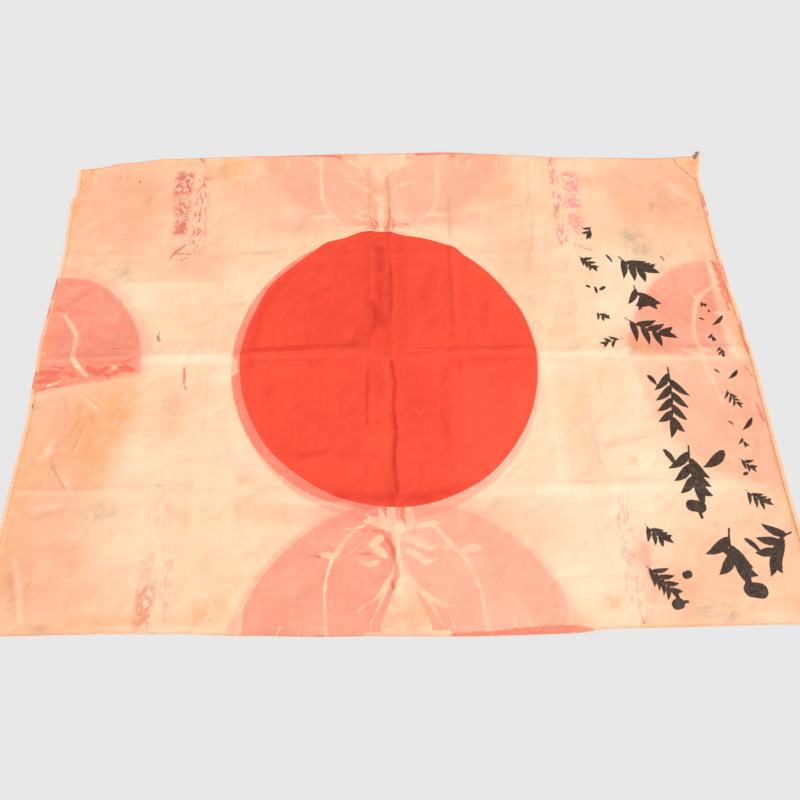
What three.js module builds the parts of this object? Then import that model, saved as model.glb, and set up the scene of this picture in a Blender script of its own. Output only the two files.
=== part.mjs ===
// An old silk flag lying flat on a surface, with the soft ridges that years of folded storage left in it.
// Millimetres, +X along the flag's long side, +Y away from its lower edge, +Z up.
// The origin is on the surface that the flag lies on, under the middle of the flag's box.
// Three solids: the cloth with its turned side hems, the corner patch sewn on it, and the stump of its tie.
import * as THREE from 'three';

// ---- driving dimensions ----
const FLAG_WIDTH = 1010;
const FLAG_DROP = 712;
const CLOTH_THICKNESS = 1;
const HEM_EXTRA = 0.5; // how much thicker the cloth is where its side is turned in
const LEFT_HEM = 5;
const RIGHT_HEM = 9;
const CELL = 26; // the widest step between two rows or columns of the cloth's grid
const RIM = 110; // how far in from an edge the edge's waver fades out
const CREASE_FADE = 45; // the length over which a crease dies away at its end
const PUFF = 1.6; // scales the broad low swells between the creases
const PUFF_FLOOR = 0.5; // the share of each swell that is pressed flat on the surface
const PUFF_LENGTH = 150; // from the top of one swell to the next
const PUFF_ALONG = { x: 1, y: 0.3 }; // the slants of the two sets of waves that make the swells
const PUFF_ACROSS = { x: -0.2, y: 0.8 };
const FLAG_CORNER = [502, 350]; // the corner with the patch
const CALM_FROM = 75; // the cloth is flat this far round that corner, and has its full creases
const CALM_TO = 130; // from here outwards
const SEWING_GAP = 0.3; // between two pieces that are sewn together
const PATCH_THICKNESS = 1;
const TIE_RADIUS = 1.4;
const TIE_SIDES = 8;
const TIE_STEPS = 8;

// Fold creases: those that run up the flag at x, and those that run across it at y.
// Each has its height, how far its slopes reach to each side, and where it starts and ends.
const UP_CREASES = [
  { at: -8, lift: 3.2, reach: 15, from: -360, to: 360 },
  { at: -38, lift: 2.6, reach: 15, from: -30, to: 360 },
  { at: -265, lift: 2.0, reach: 22, from: -360, to: 360 },
  { at: -120, lift: 1.1, reach: 18, from: -250, to: 120 },
  { at: 85, lift: 1.2, reach: 18, from: -120, to: 230 },
  { at: 203, lift: 1.9, reach: 20, from: -200, to: 360 },
  { at: 262, lift: 2.2, reach: 22, from: -360, to: 360 },
  { at: 420, lift: 1.1, reach: 20, from: -120, to: 250 },
];
const ACROSS_CREASES = [
  { at: 3, lift: 3.0, reach: 17, from: -510, to: 510 },
  { at: -187, lift: 2.4, reach: 20, from: -510, to: 510 },
  { at: -142, lift: 1.1, reach: 17, from: -260, to: 220 },
  { at: 168, lift: 1.8, reach: 20, from: -510, to: 330 },
  { at: 122, lift: 1.2, reach: 18, from: -430, to: -230 },
  { at: 152, lift: 1.6, reach: 18, from: 340, to: 500 },
  { at: -270, lift: 1.0, reach: 22, from: -300, to: 330 },
];

// How far each edge wavers outwards (+) or inwards (-) from the plain rectangle, at places along it.
const LEFT_EDGE = [
  [-356, -3], [-190, -7], [-85, -9], [-27, -6], [33, -3], [97, -5], [165, -8], [240, -3],
  [280, 1], [300, -3], [356, 1],
];
const RIGHT_EDGE = [
  [-356, 1], [-184, -3], [-14, -2], [50, -6], [117, -10], [189, -12], [300, -12], [356, -1],
];
const TOP_EDGE = [
  [-505, -24], [-487, -22], [-426, -10], [-363, -3], [-234, 1], [-39, 5], [92, 6.5], [158, 2],
  [289, -6], [430, -8], [505, -4],
];
const BOTTOM_EDGE = [
  [-505, -6], [-367, -6], [-274, -4], [-181, 0], [-87, 3], [100, 6.5], [195, 6], [243, 2],
  [436, 2], [505, 3],
];

// The patch's outline: along its free side first, then back round the flag's corner.
const PATCH_OUTLINE = [
  [459, 347], [464, 333], [477, 315], [491, 298], [493.5, 317], [498, 335], FLAG_CORNER, [482, 348],
];
// The middle of the tie's stump, from where it is sewn to its free end.
const TIE_LINE = [
  [495, 344], [497.5, 350], [500.5, 355], [504, 360],
];

// ---- the cloth's form ----

// A value between the listed ones, eased so that the curve has no corners.
function along(table, place) {
  const last = table.length - 1;
  if (place <= table[0][0]) return table[0][1];
  if (place >= table[last][0]) return table[last][1];
  const next = table.findIndex(([at]) => at > place);
  const [fromPlace, fromValue] = table[next - 1];
  const [toPlace, toValue] = table[next];
  const share = THREE.MathUtils.smoothstep(place, fromPlace, toPlace);
  return THREE.MathUtils.lerp(fromValue, toValue, share);
}

// The even rectangle's point (x, y) moved so that the outline wavers and the middle stays put.
function wavered(x, y) {
  const halfWidth = FLAG_WIDTH / 2;
  const halfDrop = FLAG_DROP / 2;
  const nearLeft = 1 - THREE.MathUtils.smoothstep(x, -halfWidth, -halfWidth + RIM);
  const nearRight = THREE.MathUtils.smoothstep(x, halfWidth - RIM, halfWidth);
  const nearBottom = 1 - THREE.MathUtils.smoothstep(y, -halfDrop, -halfDrop + RIM);
  const nearTop = THREE.MathUtils.smoothstep(y, halfDrop - RIM, halfDrop);
  return [
    x - along(LEFT_EDGE, y) * nearLeft + along(RIGHT_EDGE, y) * nearRight,
    y - along(BOTTOM_EDGE, x) * nearBottom + along(TOP_EDGE, x) * nearTop,
  ];
}

// How high one crease holds the cloth: a ridge with a sharp crest, and slopes that run out softly.
function creaseLift(crease, distance, place) {
  const slope = Math.max(0, 1 - Math.abs(distance) / crease.reach) ** 2;
  const started = THREE.MathUtils.smoothstep(place, crease.from, crease.from + CREASE_FADE);
  const ended = THREE.MathUtils.smoothstep(place, crease.to - CREASE_FADE, crease.to);
  return crease.lift * slope * started * (1 - ended);
}

// Broad low swells; the cloth lies on the surface wherever they fall below nothing.
function swell(x, y) {
  const turn = (2 * Math.PI) / PUFF_LENGTH;
  const alongWave = Math.sin(turn * (x * PUFF_ALONG.x + y * PUFF_ALONG.y));
  const acrossWave = Math.sin(turn * (x * PUFF_ACROSS.x + y * PUFF_ACROSS.y));
  return PUFF * Math.max(0, alongWave * acrossWave - PUFF_FLOOR);
}

// 0 at the sewn corner, so that the patch lies flat there, and 1 away from it.
function cornerCalm(x, y) {
  const distance = Math.hypot(x - FLAG_CORNER[0], y - FLAG_CORNER[1]);
  return THREE.MathUtils.smoothstep(distance, CALM_FROM, CALM_TO);
}

// The height of the cloth's underside above the surface.
function undersideHeight(x, y) {
  const up = Math.hypot(...UP_CREASES.map((crease) => creaseLift(crease, x - crease.at, y)));
  const across = Math.hypot(...ACROSS_CREASES.map((crease) => creaseLift(crease, y - crease.at, x)));
  return Math.hypot(up, across, swell(x, y)) * cornerCalm(x, y);
}

// The places of the grid's lines: one on each stop, and even steps no wider than a cell between them.
function gridLines(stops) {
  const sorted = [...new Set(stops)].sort((a, b) => a - b);
  const lines = [sorted[0]];
  for (const stop of sorted.slice(1)) {
    const start = lines[lines.length - 1];
    const steps = Math.ceil((stop - start) / CELL);
    for (let step = 1; step <= steps; step += 1) {
      lines.push(start + ((stop - start) * step) / steps);
    }
  }
  return lines;
}

// A crease needs a line on its crest and one half way down each slope.
function creaseStops(creases, low, high) {
  return creases
    .flatMap(({ at, reach }) => [at - reach / 2, at, at + reach / 2])
    .filter((place) => place > low && place < high);
}

function flagCloth() {
  const halfWidth = FLAG_WIDTH / 2;
  const halfDrop = FLAG_DROP / 2;
  const leftHemLine = -halfWidth + LEFT_HEM;
  const rightHemLine = halfWidth - RIGHT_HEM;
  const columns = gridLines([
    -halfWidth, leftHemLine, ...creaseStops(UP_CREASES, leftHemLine, rightHemLine), rightHemLine, halfWidth,
  ]);
  const rows = gridLines([-halfDrop, ...creaseStops(ACROSS_CREASES, -halfDrop, halfDrop), halfDrop]);
  const geometry = new THREE.BoxGeometry(1, 1, 1, columns.length - 1, rows.length - 1, 1);
  const position = geometry.getAttribute('position');
  for (let index = 0; index < position.count; index += 1) {
    const column = Math.round((position.getX(index) + 0.5) * (columns.length - 1));
    const row = Math.round((position.getY(index) + 0.5) * (rows.length - 1));
    const plainX = columns[column];
    const plainY = rows[row];
    const [x, y] = wavered(plainX, plainY);
    const inHem = plainX <= leftHemLine || plainX >= rightHemLine;
    const thickness = CLOTH_THICKNESS + (inHem ? HEM_EXTRA : 0);
    const onTop = position.getZ(index) > 0;
    position.setXYZ(index, x, y, undersideHeight(plainX, plainY) + (onTop ? thickness : 0));
  }
  const silk = new THREE.MeshStandardMaterial({ color: 0xffdfb8, roughness: 0.62, metalness: 0 });
  return named('flag_cloth', geometry, silk);
}

// ---- the sewn-on pieces ----

function cornerPatch() {
  const outline = new THREE.Shape(PATCH_OUTLINE.map(([x, y]) => new THREE.Vector2(x, y)));
  const geometry = new THREE.ExtrudeGeometry(outline, { depth: PATCH_THICKNESS, bevelEnabled: false });
  geometry.translate(0, 0, patchBase());
  const stainedSilk = new THREE.MeshStandardMaterial({ color: 0xf6c690, roughness: 0.66, metalness: 0 });
  return named('corner_patch', geometry, stainedSilk);
}

function patchBase() {
  return CLOTH_THICKNESS + HEM_EXTRA + SEWING_GAP;
}

function tieStub() {
  const height = patchBase() + PATCH_THICKNESS + SEWING_GAP + TIE_RADIUS;
  const line = new THREE.CatmullRomCurve3(TIE_LINE.map(([x, y]) => new THREE.Vector3(x, y, height)));
  const section = new THREE.Shape();
  for (let side = 0; side < TIE_SIDES; side += 1) {
    const angle = (2 * Math.PI * side) / TIE_SIDES;
    const point = [TIE_RADIUS * Math.cos(angle), TIE_RADIUS * Math.sin(angle)];
    if (side === 0) section.moveTo(...point);
    else section.lineTo(...point);
  }
  section.closePath();
  const alongLine = { extrudePath: line, steps: TIE_STEPS, bevelEnabled: false };
  const geometry = new THREE.ExtrudeGeometry(section, alongLine);
  const cord = new THREE.MeshStandardMaterial({ color: 0x7a5236, roughness: 0.85, metalness: 0 });
  return named('tie_stub', geometry, cord);
}

function named(name, geometry, material) {
  const mesh = new THREE.Mesh(geometry, material);
  mesh.name = name;
  return mesh;
}

const flag = new THREE.Group();
flag.add(flagCloth(), cornerPatch(), tieStub());

export default flag;
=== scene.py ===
import functools
import math

import bmesh
import bpy
import numpy as np
from mathutils import Matrix, Vector


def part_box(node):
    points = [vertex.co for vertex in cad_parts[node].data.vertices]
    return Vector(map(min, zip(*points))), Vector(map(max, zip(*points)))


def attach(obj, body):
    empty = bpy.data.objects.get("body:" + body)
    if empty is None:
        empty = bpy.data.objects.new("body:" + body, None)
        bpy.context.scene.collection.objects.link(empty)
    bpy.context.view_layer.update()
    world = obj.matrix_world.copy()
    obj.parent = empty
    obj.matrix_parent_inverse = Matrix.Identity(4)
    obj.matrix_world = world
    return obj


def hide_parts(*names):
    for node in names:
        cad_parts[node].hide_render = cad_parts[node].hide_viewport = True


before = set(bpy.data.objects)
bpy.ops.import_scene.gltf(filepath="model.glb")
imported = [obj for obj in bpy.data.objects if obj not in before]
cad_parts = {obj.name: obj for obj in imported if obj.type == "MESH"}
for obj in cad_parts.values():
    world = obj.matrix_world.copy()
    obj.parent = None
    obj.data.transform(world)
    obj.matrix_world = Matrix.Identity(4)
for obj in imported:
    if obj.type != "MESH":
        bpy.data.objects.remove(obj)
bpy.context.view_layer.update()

# An old dyed silk flag lying flat: one sheet of thin silk with stitched side hems, a small patch sewn on one
# corner and the torn stump of a tie. All lengths in the tables are millimetres in the frame of the CAD part.

MM = 0.001

# ---- the cloth's plain rectangle, and how its outline wavers ----

CLOTH_LOW, CLOTH_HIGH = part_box("flag_cloth")
SIDE_WAVER = 1.0  # the furthest that a side edge wavers outwards
LONG_WAVER = 6.5  # the furthest that the top or bottom edge does
HALF_WIDTH = (CLOTH_HIGH.x - CLOTH_LOW.x) / 2 / MM - SIDE_WAVER
HALF_DROP = (CLOTH_HIGH.y - CLOTH_LOW.y) / 2 / MM - LONG_WAVER
RIM = 110  # how far in from an edge its waver fades out
LEFT_HEM = 5
RIGHT_HEM = 5.5
LEFT_LINE = -HALF_WIDTH + LEFT_HEM
RIGHT_LINE = HALF_WIDTH - RIGHT_HEM
LEFT_STEP = 0.8  # half the width of the step from the left hem down to the single cloth
RIGHT_STEP = 0.6
SEAM_INSET = 0.6  # how far inwards of a hem's line its stitches lie

# (place along the edge, how far it wavers outwards)
LEFT_EDGE = [
    (-356, -3), (-190, -7), (-85, -9), (-27, -6), (33, -3), (97, -5), (165, -8), (240, -3), (270, 0),
    (294, -6), (356, -3),
]
RIGHT_EDGE = [
    (-356, 1), (-184, -3), (-14, -2), (50, -6), (117, -10), (189, -12), (300, -12), (356, -1),
]
TOP_EDGE = [
    (-505, -24), (-487, -22), (-426, -10), (-363, -3), (-234, 1), (-39, 5), (92, 6.5), (158, 2), (289, -6),
    (430, -8), (505, -4),
]
BOTTOM_EDGE = [
    (-505, -6), (-367, -6), (-274, -4), (-181, 0), (-87, 3), (100, 6.5), (195, 6), (243, 2), (436, 2),
    (505, 3),
]

# ---- the cloth's folds ----

# Storage creases: (place, lift, reach of each slope, start, end), up the flag at x or across it at y.
UP_CREASES = [
    (-8, 3.2, 15, -360, 360), (-38, 2.6, 15, -30, 360), (-265, 2.0, 22, -360, 360),
    (-120, 1.1, 18, -250, 120), (85, 1.2, 18, -120, 230), (203, 1.9, 20, -200, 360),
    (262, 2.2, 22, -360, 360), (420, 1.1, 20, -120, 250),
]
ACROSS_CREASES = [
    (3, 3.0, 17, -510, 510), (-187, 2.4, 20, -510, 510), (-142, 1.1, 17, -260, 220),
    (168, 1.8, 20, -510, 330), (122, 1.2, 18, -430, -230), (152, 1.6, 18, 340, 500),
    (-270, 1.0, 22, -300, 330),
]
CREASE_FADE = 45  # the length over which a crease dies away at its end
CREASE_SHARE = 0.75  # silk is limper than its solid, so its creases stand this much of the solid's

# Loose wrinkles that run slanting: (lift, reach of each slope, then their points).
WRINKLES = [
    (1.6, 9, (-453, -143), (-440, -162), (-421, -187)), (1.2, 8, (-416, -86), (-424, -115), (-431, -140)),
    (1.3, 12, (-488, -4), (-470, 20), (-458, 38)), (1.5, 13, (-450, 34), (-405, 22), (-364, 14)),
    (1.1, 9, (-500, -6), (-450, -3), (-366, 3)), (1.2, 11, (-480, 84), (-455, 98), (-430, 122)),
    (1.0, 9, (-428, 126), (-416, 90), (-398, 70)), (1.1, 8, (-454, -52), (-442, -84)),
    (1.0, 7, (-432, -50), (-400, -80)), (1.0, 9, (-488, -66), (-462, -86), (-455, -110)),
    (1.2, 12, (-492, -140), (-450, -125), (-452, -104)), (1.1, 10, (-470, -222), (-440, -212), (-404, -206)),
    (1.4, 14, (-482, -262), (-466, -300), (-452, -345)), (1.2, 14, (-455, -262), (-444, -300), (-425, -350)),
    (1.0, 10, (-425, -274), (-395, -270)), (1.1, 10, (-216, -213), (-198, -201), (-184, -186)),
    (1.2, 12, (88, -36), (120, -24), (182, -6)), (1.0, 10, (90, 46), (118, 30), (140, 28)),
    (0.9, 9, (-183, -68), (-176, -50), (-158, -42)), (0.9, 9, (-148, -92), (-132, -70), (-98, -64)),
    (0.8, 9, (-140, 92), (-112, 84), (-104, 112)), (0.9, 10, (40, -20), (62, -38), (82, -40)),
    (1.1, 14, (-500, 205), (-440, 190), (-395, 196)), (1.0, 12, (-468, 232), (-452, 244), (-446, 250)),
    (1.1, 14, (440, 300), (446, 262), (470, 236)), (1.0, 12, (452, 316), (470, 280), (486, 262)),
    (1.0, 14, (205, 215), (208, 180), (196, 140)), (1.1, 12, (262, -120), (263, -150), (266, -190)),
    (1.0, 14, (262, -140), (300, -134), (345, -122)), (0.9, 12, (270, -188), (300, -190), (330, -186)),
    (1.0, 12, (482, -50), (486, -110), (480, -170)), (0.9, 10, (420, -60), (436, -80), (446, -98)),
]

PUFF = 1.6  # scales the broad low swells between the creases
PUFF_FLOOR = 0.5
PUFF_LENGTH = 150
PUFF_ALONG = (1, 0.3)
PUFF_ACROSS = (-0.2, 0.8)
FLAG_CORNER = (502, 350)  # the corner with the patch, round which the cloth lies calm
CALM_FROM = 75
CALM_TO = 130

SHEET_THICKNESS = 0.45
HEM_EXTRA = 0.55
FLOOR_CLEARANCE = 0.05
SHARP_ANGLE = math.radians(50)  # two faces that meet at more than this show an edge
BACK_CELL = 14.2  # the grid of the cloth's back; the front's is half of it
RIM_CELL = 1.2  # the narrow cells along the cloth's outline
STOP_MARGIN = 4  # how far in from a hem a crease may have lines of the grid
STOP_SPACING = 2.5  # and the least distance between two of them
SPLIT = 4  # how many times a front cell with a fine mark in it is divided
HALF_SPLIT = 2  # the steps left together in a front cell that only has a soft fold in it
MARK_REACH = 14  # how far from a mark its distance is worked out
LINE_REACH = 2.5  # how many half widths from a line its distance is worked out
LINE_FADE = 14  # a line fades over this length at each end, or over a third of its own length if that is less
LINE_END = 0.25  # how strong a fold's line still is at its ends
BLOT_STEEPNESS = 1.4  # over 1 makes a stain's middle even and its edge steep
STRIP_SIDES = (2, 3)  # how far outside and inside its sides a rubbed strip fades
STRIP_ENDS = (4, 6)  # and its ends
LONG_WAVES = (17, 41, 23, 37)  # the silk's unevenness, in millimetres to a radian of each wave
SHORT_WAVES = (9.5, 29, 12.5, 43)
SHORT_SHARE = 0.6
RIPPLE = 0.22
RIPPLE_FLOOR = 1.6

# ---- what is dyed, rubbed off and painted on the cloth ----

DISC = (-13, -2.5, 207)
DISC_WAVER = [
    (-180, 1), (-168, 0), (-142, -1), (-126, -3), (-104, -1), (-75, 3), (-55, 5), (-30, 3), (0, 1), (18, -1),
    (30, -5), (55, -4), (61, 1), (66, -1), (82, -2), (90, 3), (100, 7), (108, 3), (116, 6), (124, 0),
    (133, -1), (146, 2), (158, -1), (180, 1),
]

# Prints that the wet disc left on the cloth folded against it:
# (x, y, radius, colour, depth, softness of the edge, raggedness, cuts).
# A cut (nx, ny, d) keeps the side where nx * x + ny * y is under d.
PALE_PINK, DEEP_PINK, PEACH_PINK = "#F49E88", "#F17A65", "#F2A388"
PRINTS = [
    (-14, -16, 212, PALE_PINK, 0.72, 2.2, 3, []),
    (-24, -6, 208, DEEP_PINK, 0.80, 1.4, 3, []),
    (2, -420, 223, PALE_PINK, 0.44, 2.6, 4, [(0, 1, -212), (1, 0, -4)]),
    (4, -418, 216, DEEP_PINK, 0.50, 1.2, 3, [(1, 0, -4), (0, 1, -211), (-1, 0, 191)]),
    (2, -418, 216, DEEP_PINK, 0.36, 2.6, 6, [(-1, 0, 4), (0, 1, -212), (1, 0, 196)]),
    (0, -416, 222, PALE_PINK, 0.34, 8.0, 6, [(-1, 0, 4), (0, 1, -210)]),
    (-17, 418, 205, PEACH_PINK, 0.52, 7.0, 6, []),
    (-16, 424, 222, PEACH_PINK, 0.20, 9.0, 6, []),
    (-516, -16, 171, PALE_PINK, 0.34, 6.0, 9, [(0.17, -1, -34)]),
    (-520, -20, 164, DEEP_PINK, 0.68, 3.2, 6, [(0.04, 1, 112), (0.17, -1, -38)]),
    (502, -18, 176, DEEP_PINK, 0.54, 5.0, 8, [(0, 1, 148), (0, -1, 6), (1, 0, 469)]),
    (502, -26, 170, PEACH_PINK, 0.42, 9.0, 10, [(0, 1, -14)]),
]

# Undyed lines and blots in the prints, each a run of (x, y, half width).
VEINS = [
    [(-52, -238, 1.2), (-64, -242, 1.9), (-74, -254, 2.9), (-78, -260, 3.5), (-86, -272, 2.6),
     (-92, -290, 2.0), (-95, -310, 1.9), (-94, -332, 2.0), (-92, -362, 2.8)],
    [(-101, -267, 2.6), (-95, -267, 3.8), (-86, -269, 4.0), (-78, -262, 3.0)],
    [(-73, -236, 0.8), (-60, -236, 1.3), (-48, -233, 2.0)],
    [(-46, -227, 2.6), (-28, -229, 7.0), (-12, -234, 8.5), (4, -236, 6.5)],
    [(-44, -218, 1.5), (-36, -228, 2.5)], [(-28, -212, 2.2), (-22, -228, 4.0)],
    [(-13, -208, 5.5), (-13, -226, 6.0), (-8, -244, 6.5), (-6, -262, 2.8), (-2, -288, 2.8), (2, -302, 4.0)],
    [(8, -210, 3.6), (11, -224, 5.6), (9, -236, 5.0)], [(20, -235, 3.6), (36, -232, 3.6), (48, -231, 1.6)],
    [(-6, -264, 1.4), (-12, -287, 2.4), (-20, -304, 4.4), (-30, -316, 3.0), (-39, -322, 0.8)],
    [(-22, -310, 3.0), (-31, -330, 1.6), (-36, -338, 0.6)],
    [(-57, -335, 0.7), (-50, -328, 1.6), (-46, -325, 0.6)],
    [(-38, -356, 1.6), (-40, -346, 1.2), (-34, -338, 0.6)],
    [(-27, -248, 4.0), (-36, -256, 6.0), (-26, -266, 5.0), (-21, -270, 3.0)],
    [(-54, -275, 1.0), (-42, -279, 3.4), (-31, -277, 3.0)], [(-68, -268, 0.8), (-56, -260, 1.2)],
    [(-42, -258, 1.2), (-52, -263, 0.7)],
    [(1, -290, 2.0), (1, -302, 9.0), (1, -324, 18.0), (2, -345, 26.0), (2, -360, 33.0)],
    [(-46, -360, 5.0), (52, -360, 5.0)],
    [(-477, 71, 2.0), (-470, 62, 3.2), (-458, 46, 3.4), (-453, 32, 3.2), (-453, 12, 3.4), (-450, 0, 3.8),
     (-441, -12, 3.8), (-428, -25, 2.4)],
    [(-393, -14, 3.4), (-385, -16, 2.2)], [(-398, -7, 0.6), (-393, -12, 1.4)],
    [(-456, -23, 2.8), (-453, -25, 2.0)], [(-497, 12, 2.6), (-491, 9, 2.0)],
    [(-499, -19, 3.4), (-497, -21, 2.4)], [(-500, 40, 1.6), (-497, 46, 1.4)],
    [(-478, -38, 2.4), (-464, -33, 1.6)], [(-66, 238, 0.6), (-58, 236, 2.0), (-48, 230, 1.0)],
    [(-44, 252, 0.8), (-38, 246, 2.2), (-33, 238, 1.0)], [(-46, 232, 0.8), (-39, 230, 1.8), (-32, 226, 0.8)],
    [(4, 250, 0.8), (8, 244, 2.0), (14, 238, 0.8)], [(10, 236, 0.8), (19, 233, 2.2), (26, 229, 0.8)],
    [(4, 230, 0.8), (9, 228, 1.6), (16, 224, 0.8)], [(-230, -9, 7.0), (-229, -20, 7.5)],
    [(-150, -356, 1.2), (-146, -348, 1.2)], [(-124, -356, 0.9), (-122, -350, 0.7)],
]
# Undyed lines that have blurred.
SOFT_VEINS = [
    [(18, -235, 1.6), (38, -234, 2.8), (50, -246, 2.3), (62, -260, 3.2), (74, -270, 3.2), (84, -288, 2.1),
     (93, -310, 2.2), (96, -332, 2.2), (101, -362, 3.6)],
    [(72, -266, 3.2), (86, -262, 5.0), (97, -262, 2.0)],
    [(0, -282, 2.2), (10, -299, 3.8), (26, -315, 4.2), (40, -323, 2.2), (58, -331, 0.8)],
    [(28, -318, 2.4), (36, -332, 1.4), (45, -348, 0.8)],
    [(4, -248, 4.0), (20, -253, 6.5), (34, -261, 3.4), (42, -260, 1.0)],
    [(7, -265, 3.8), (18, -270, 4.4), (28, -278, 3.6), (41, -275, 1.0)], [(52, -262, 1.0), (60, -262, 1.4)],
    [(-118, 364, 3.4), (-118, 335, 3.4), (-116, 300, 2.8), (-114, 275, 2.8), (-106, 252, 3.2),
     (-96, 238, 3.4), (-84, 226, 1.4)],
    [(-128, 235, 2.6), (-112, 236, 4.0), (-98, 236, 3.0)], [(-134, 349, 1.5), (-118, 340, 2.6)],
    [(88, 354, 2.0), (70, 350, 3.4), (69, 320, 2.8), (69, 290, 2.4), (65, 265, 2.4), (58, 247, 3.2),
     (42, 232, 2.8), (33, 221, 1.2)],
    [(48, 242, 3.0), (64, 239, 4.8), (79, 240, 2.0)],
    [(-22, 262, 2.8), (-40, 284, 4.2), (-54, 296, 2.4), (-78, 307, 1.0)],
    [(-72, 344, 3.6), (-56, 336, 4.0), (-52, 322, 3.0), (-46, 312, 1.5)],
    [(-16, 262, 2.2), (-4, 285, 3.2), (12, 297, 2.0), (33, 307, 0.8)],
    [(24, 345, 3.4), (8, 332, 3.6), (2, 314, 1.2)],
    [(-24, 208, 4.0), (-22, 240, 4.2), (-21, 262, 4.4), (-22, 280, 2.0)],
    [(-22, 292, 2.0), (-22, 320, 12.0), (-20, 340, 22.0), (-20, 372, 50.0)],
    [(-48, 216, 4.0), (-62, 213, 2.4)], [(4, 212, 3.0), (16, 210, 2.0)], [(-66, 236, 1.0), (-40, 250, 2.0)],
    [(-60, 252, 1.0), (-34, 238, 2.0)], [(2, 236, 2.0), (18, 233, 1.0)], [(4, 252, 2.0), (16, 248, 0.8)],
    [(-220, 344, 3.0), (-220, 330, 1.6)], [(-172, 344, 2.4), (-170, 328, 1.2)],
    [(-126, 344, 2.0), (-126, 336, 1.2)], [(102, 342, 2.0), (102, 334, 1.2)],
    [(122, 346, 2.6), (122, 328, 1.4)], [(165, 342, 2.4), (167, 326, 1.2)],
    [(59, -352, 1.6), (57, -342, 0.8)], [(132, -352, 1.8), (130, -344, 1.0)],
    [(150, -352, 2.2), (147, -342, 1.2)], [(196, -354, 2.2), (194, -344, 1.0)],
    [(484, 114, 1.0), (466, 102, 2.4), (452, 92, 3.0), (440, 78, 3.2), (432, 55, 2.8), (427, 35, 2.4),
     (427, 15, 2.8), (430, 3, 5.0), (442, 0, 2.0)],
    [(420, -8, 4.0), (430, -8, 6.0), (433, -28, 3.4), (440, -62, 2.2), (446, -84, 0.8)],
    [(404, 2, 1.0), (420, -4, 3.0)], [(470, 18, 1.2), (478, 34, 1.8)], [(474, -2, 3.0), (486, -14, 4.0)],
    [(436, 92, 1.0), (442, 86, 2.4), (448, 92, 2.0)], [(462, 60, 1.2), (486, 62, 1.2)],
    [(474, 146, 3.4), (474, 120, 3.0), (476, 100, 1.6)],
]

# Deep red where the dye pooled: (x, y, half width).
RED_MARKS = [
    [(38, 360, 4.0), (70, 361, 3.8), (100, 362, 3.2), (166, 359, 2.2)], [(88, 352, 1.5), (98, 355, 2.5)],
    [(-231, 357, 0.8), (-170, 358, 1.2), (-112, 358, 2.0), (-88, 354, 3.0)],
    [(-88, 356, 2.4), (-84, 346, 0.8)],
    [(56, -360, 1.2), (104, -360, 3.0), (160, -358, 5.0), (196, -357, 4.6), (222, -358, 1.6)],
    [(-186, -357, 0.8), (-46, -360, 1.0)], [(491, 276, 2.0), (492, 262, 3.6), (491, 252, 3.0)],
    [(492, 240, 1.0), (491, 234, 1.6)],
    [(480, 146, 2.6), (485, 128, 3.6), (486, 110, 3.8), (489, 94, 3.0), (491, 76, 1.6)],
    [(474, 148, 1.0), (480, 146, 2.2), (486, 142, 1.6)], [(477, 138, 1.6), (483, 132, 3.2), (488, 126, 1.4)],
    [(479, 122, 1.4), (484, 116, 3.6), (489, 112, 1.2)], [(480, 106, 2.2), (486, 100, 3.4), (482, 92, 2.4)],
    [(483, 88, 2.0), (488, 80, 2.6), (484, 72, 1.2)], [(485, 78, 1.4), (485, 66, 2.0)],
    [(492, 144, 1.2), (493, 110, 1.0)], [(488, 98, 2.0), (492, 84, 1.0)],
    [(498, 48, 1.2), (495, 24, 2.6), (496, 4, 2.0), (497, -8, 1.4)], [(486, -24, 0.8), (494, -40, 1.6)],
    [(490, -82, 1.8), (493, -104, 2.6)], [(482, 184, 0.8), (486, 172, 1.4)],
    [(-499, 130, 1.6), (-497, 118, 3.0), (-499, 98, 1.6)], [(-500, 88, 1.0), (-499, 66, 1.8)],
    [(-499, -28, 3.6), (-496, -40, 2.0), (-490, -44, 0.6)], [(-489, 82, 1.4), (-478, 76, 0.8)],
    [(-496, -33, 3.0), (-480, -29, 5.4), (-464, -28, 2.2)], [(-459, -20, 2.6), (-447, -23, 4.6)],
    [(-428, -13, 3.8), (-414, -21, 5.0), (-402, -12, 2.8)],
    [(-391, -20, 3.8), (-380, -12, 4.8), (-367, -17, 3.6)], [(-404, -22, 2.6), (-398, -25, 1.6)],
    [(-500, -21, 3.4), (-484, -19, 4.6), (-466, -19, 2.4)],
    [(-494, -47, 0.6), (-470, -39, 1.2), (-452, -38, 0.8)], [(-480, -10, 0.8), (-462, -12, 1.4)],
    [(-418, -6, 1.0), (-380, -4, 1.6), (-364, 2, 0.8)],
    [(-316, 360, 1.6), (-309, 348, 2.6), (-303, 339, 1.2)],
    [(260, 356, 1.8), (254, 341, 1.6), (251, 333, 0.8)], [(-38, 230, 1.2), (-33, 214, 3.0)],
    [(-9, 252, 1.0), (-8, 228, 1.4), (-13, 213, 3.4)], [(-14, 210, 3.0), (-8, 224, 0.8)],
    [(-34, 230, 0.7), (-28, 224, 1.8), (-26, 214, 1.2)], [(-4, 230, 0.8), (-2, 221, 2.0), (-4, 213, 1.0)],
    [(-52, 226, 0.6), (-46, 222, 0.9)], [(14, 222, 0.5), (20, 220, 0.8)],
    [(2, -212, 1.6), (0, -222, 2.6), (4, -232, 0.8)],
    [(-60, -238, 0.5), (-24, -240, 0.9), (-18, -252, 2.0), (-12, -262, 3.0), (-9, -284, 0.8)],
    [(-14, -298, 1.4), (-12, -307, 2.2)], [(-112, -268, 0.8), (-102, -269, 2.0)],
    [(-56, -266, 0.6), (-40, -267, 1.6)], [(274, 182, 0.6), (284, 176, 1.2), (298, 170, 1.0)],
    [(285, -352, 2.0), (284, -346, 1.0)], [(496, -356, 0.8), (503, -353, 1.8)],
]

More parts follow.
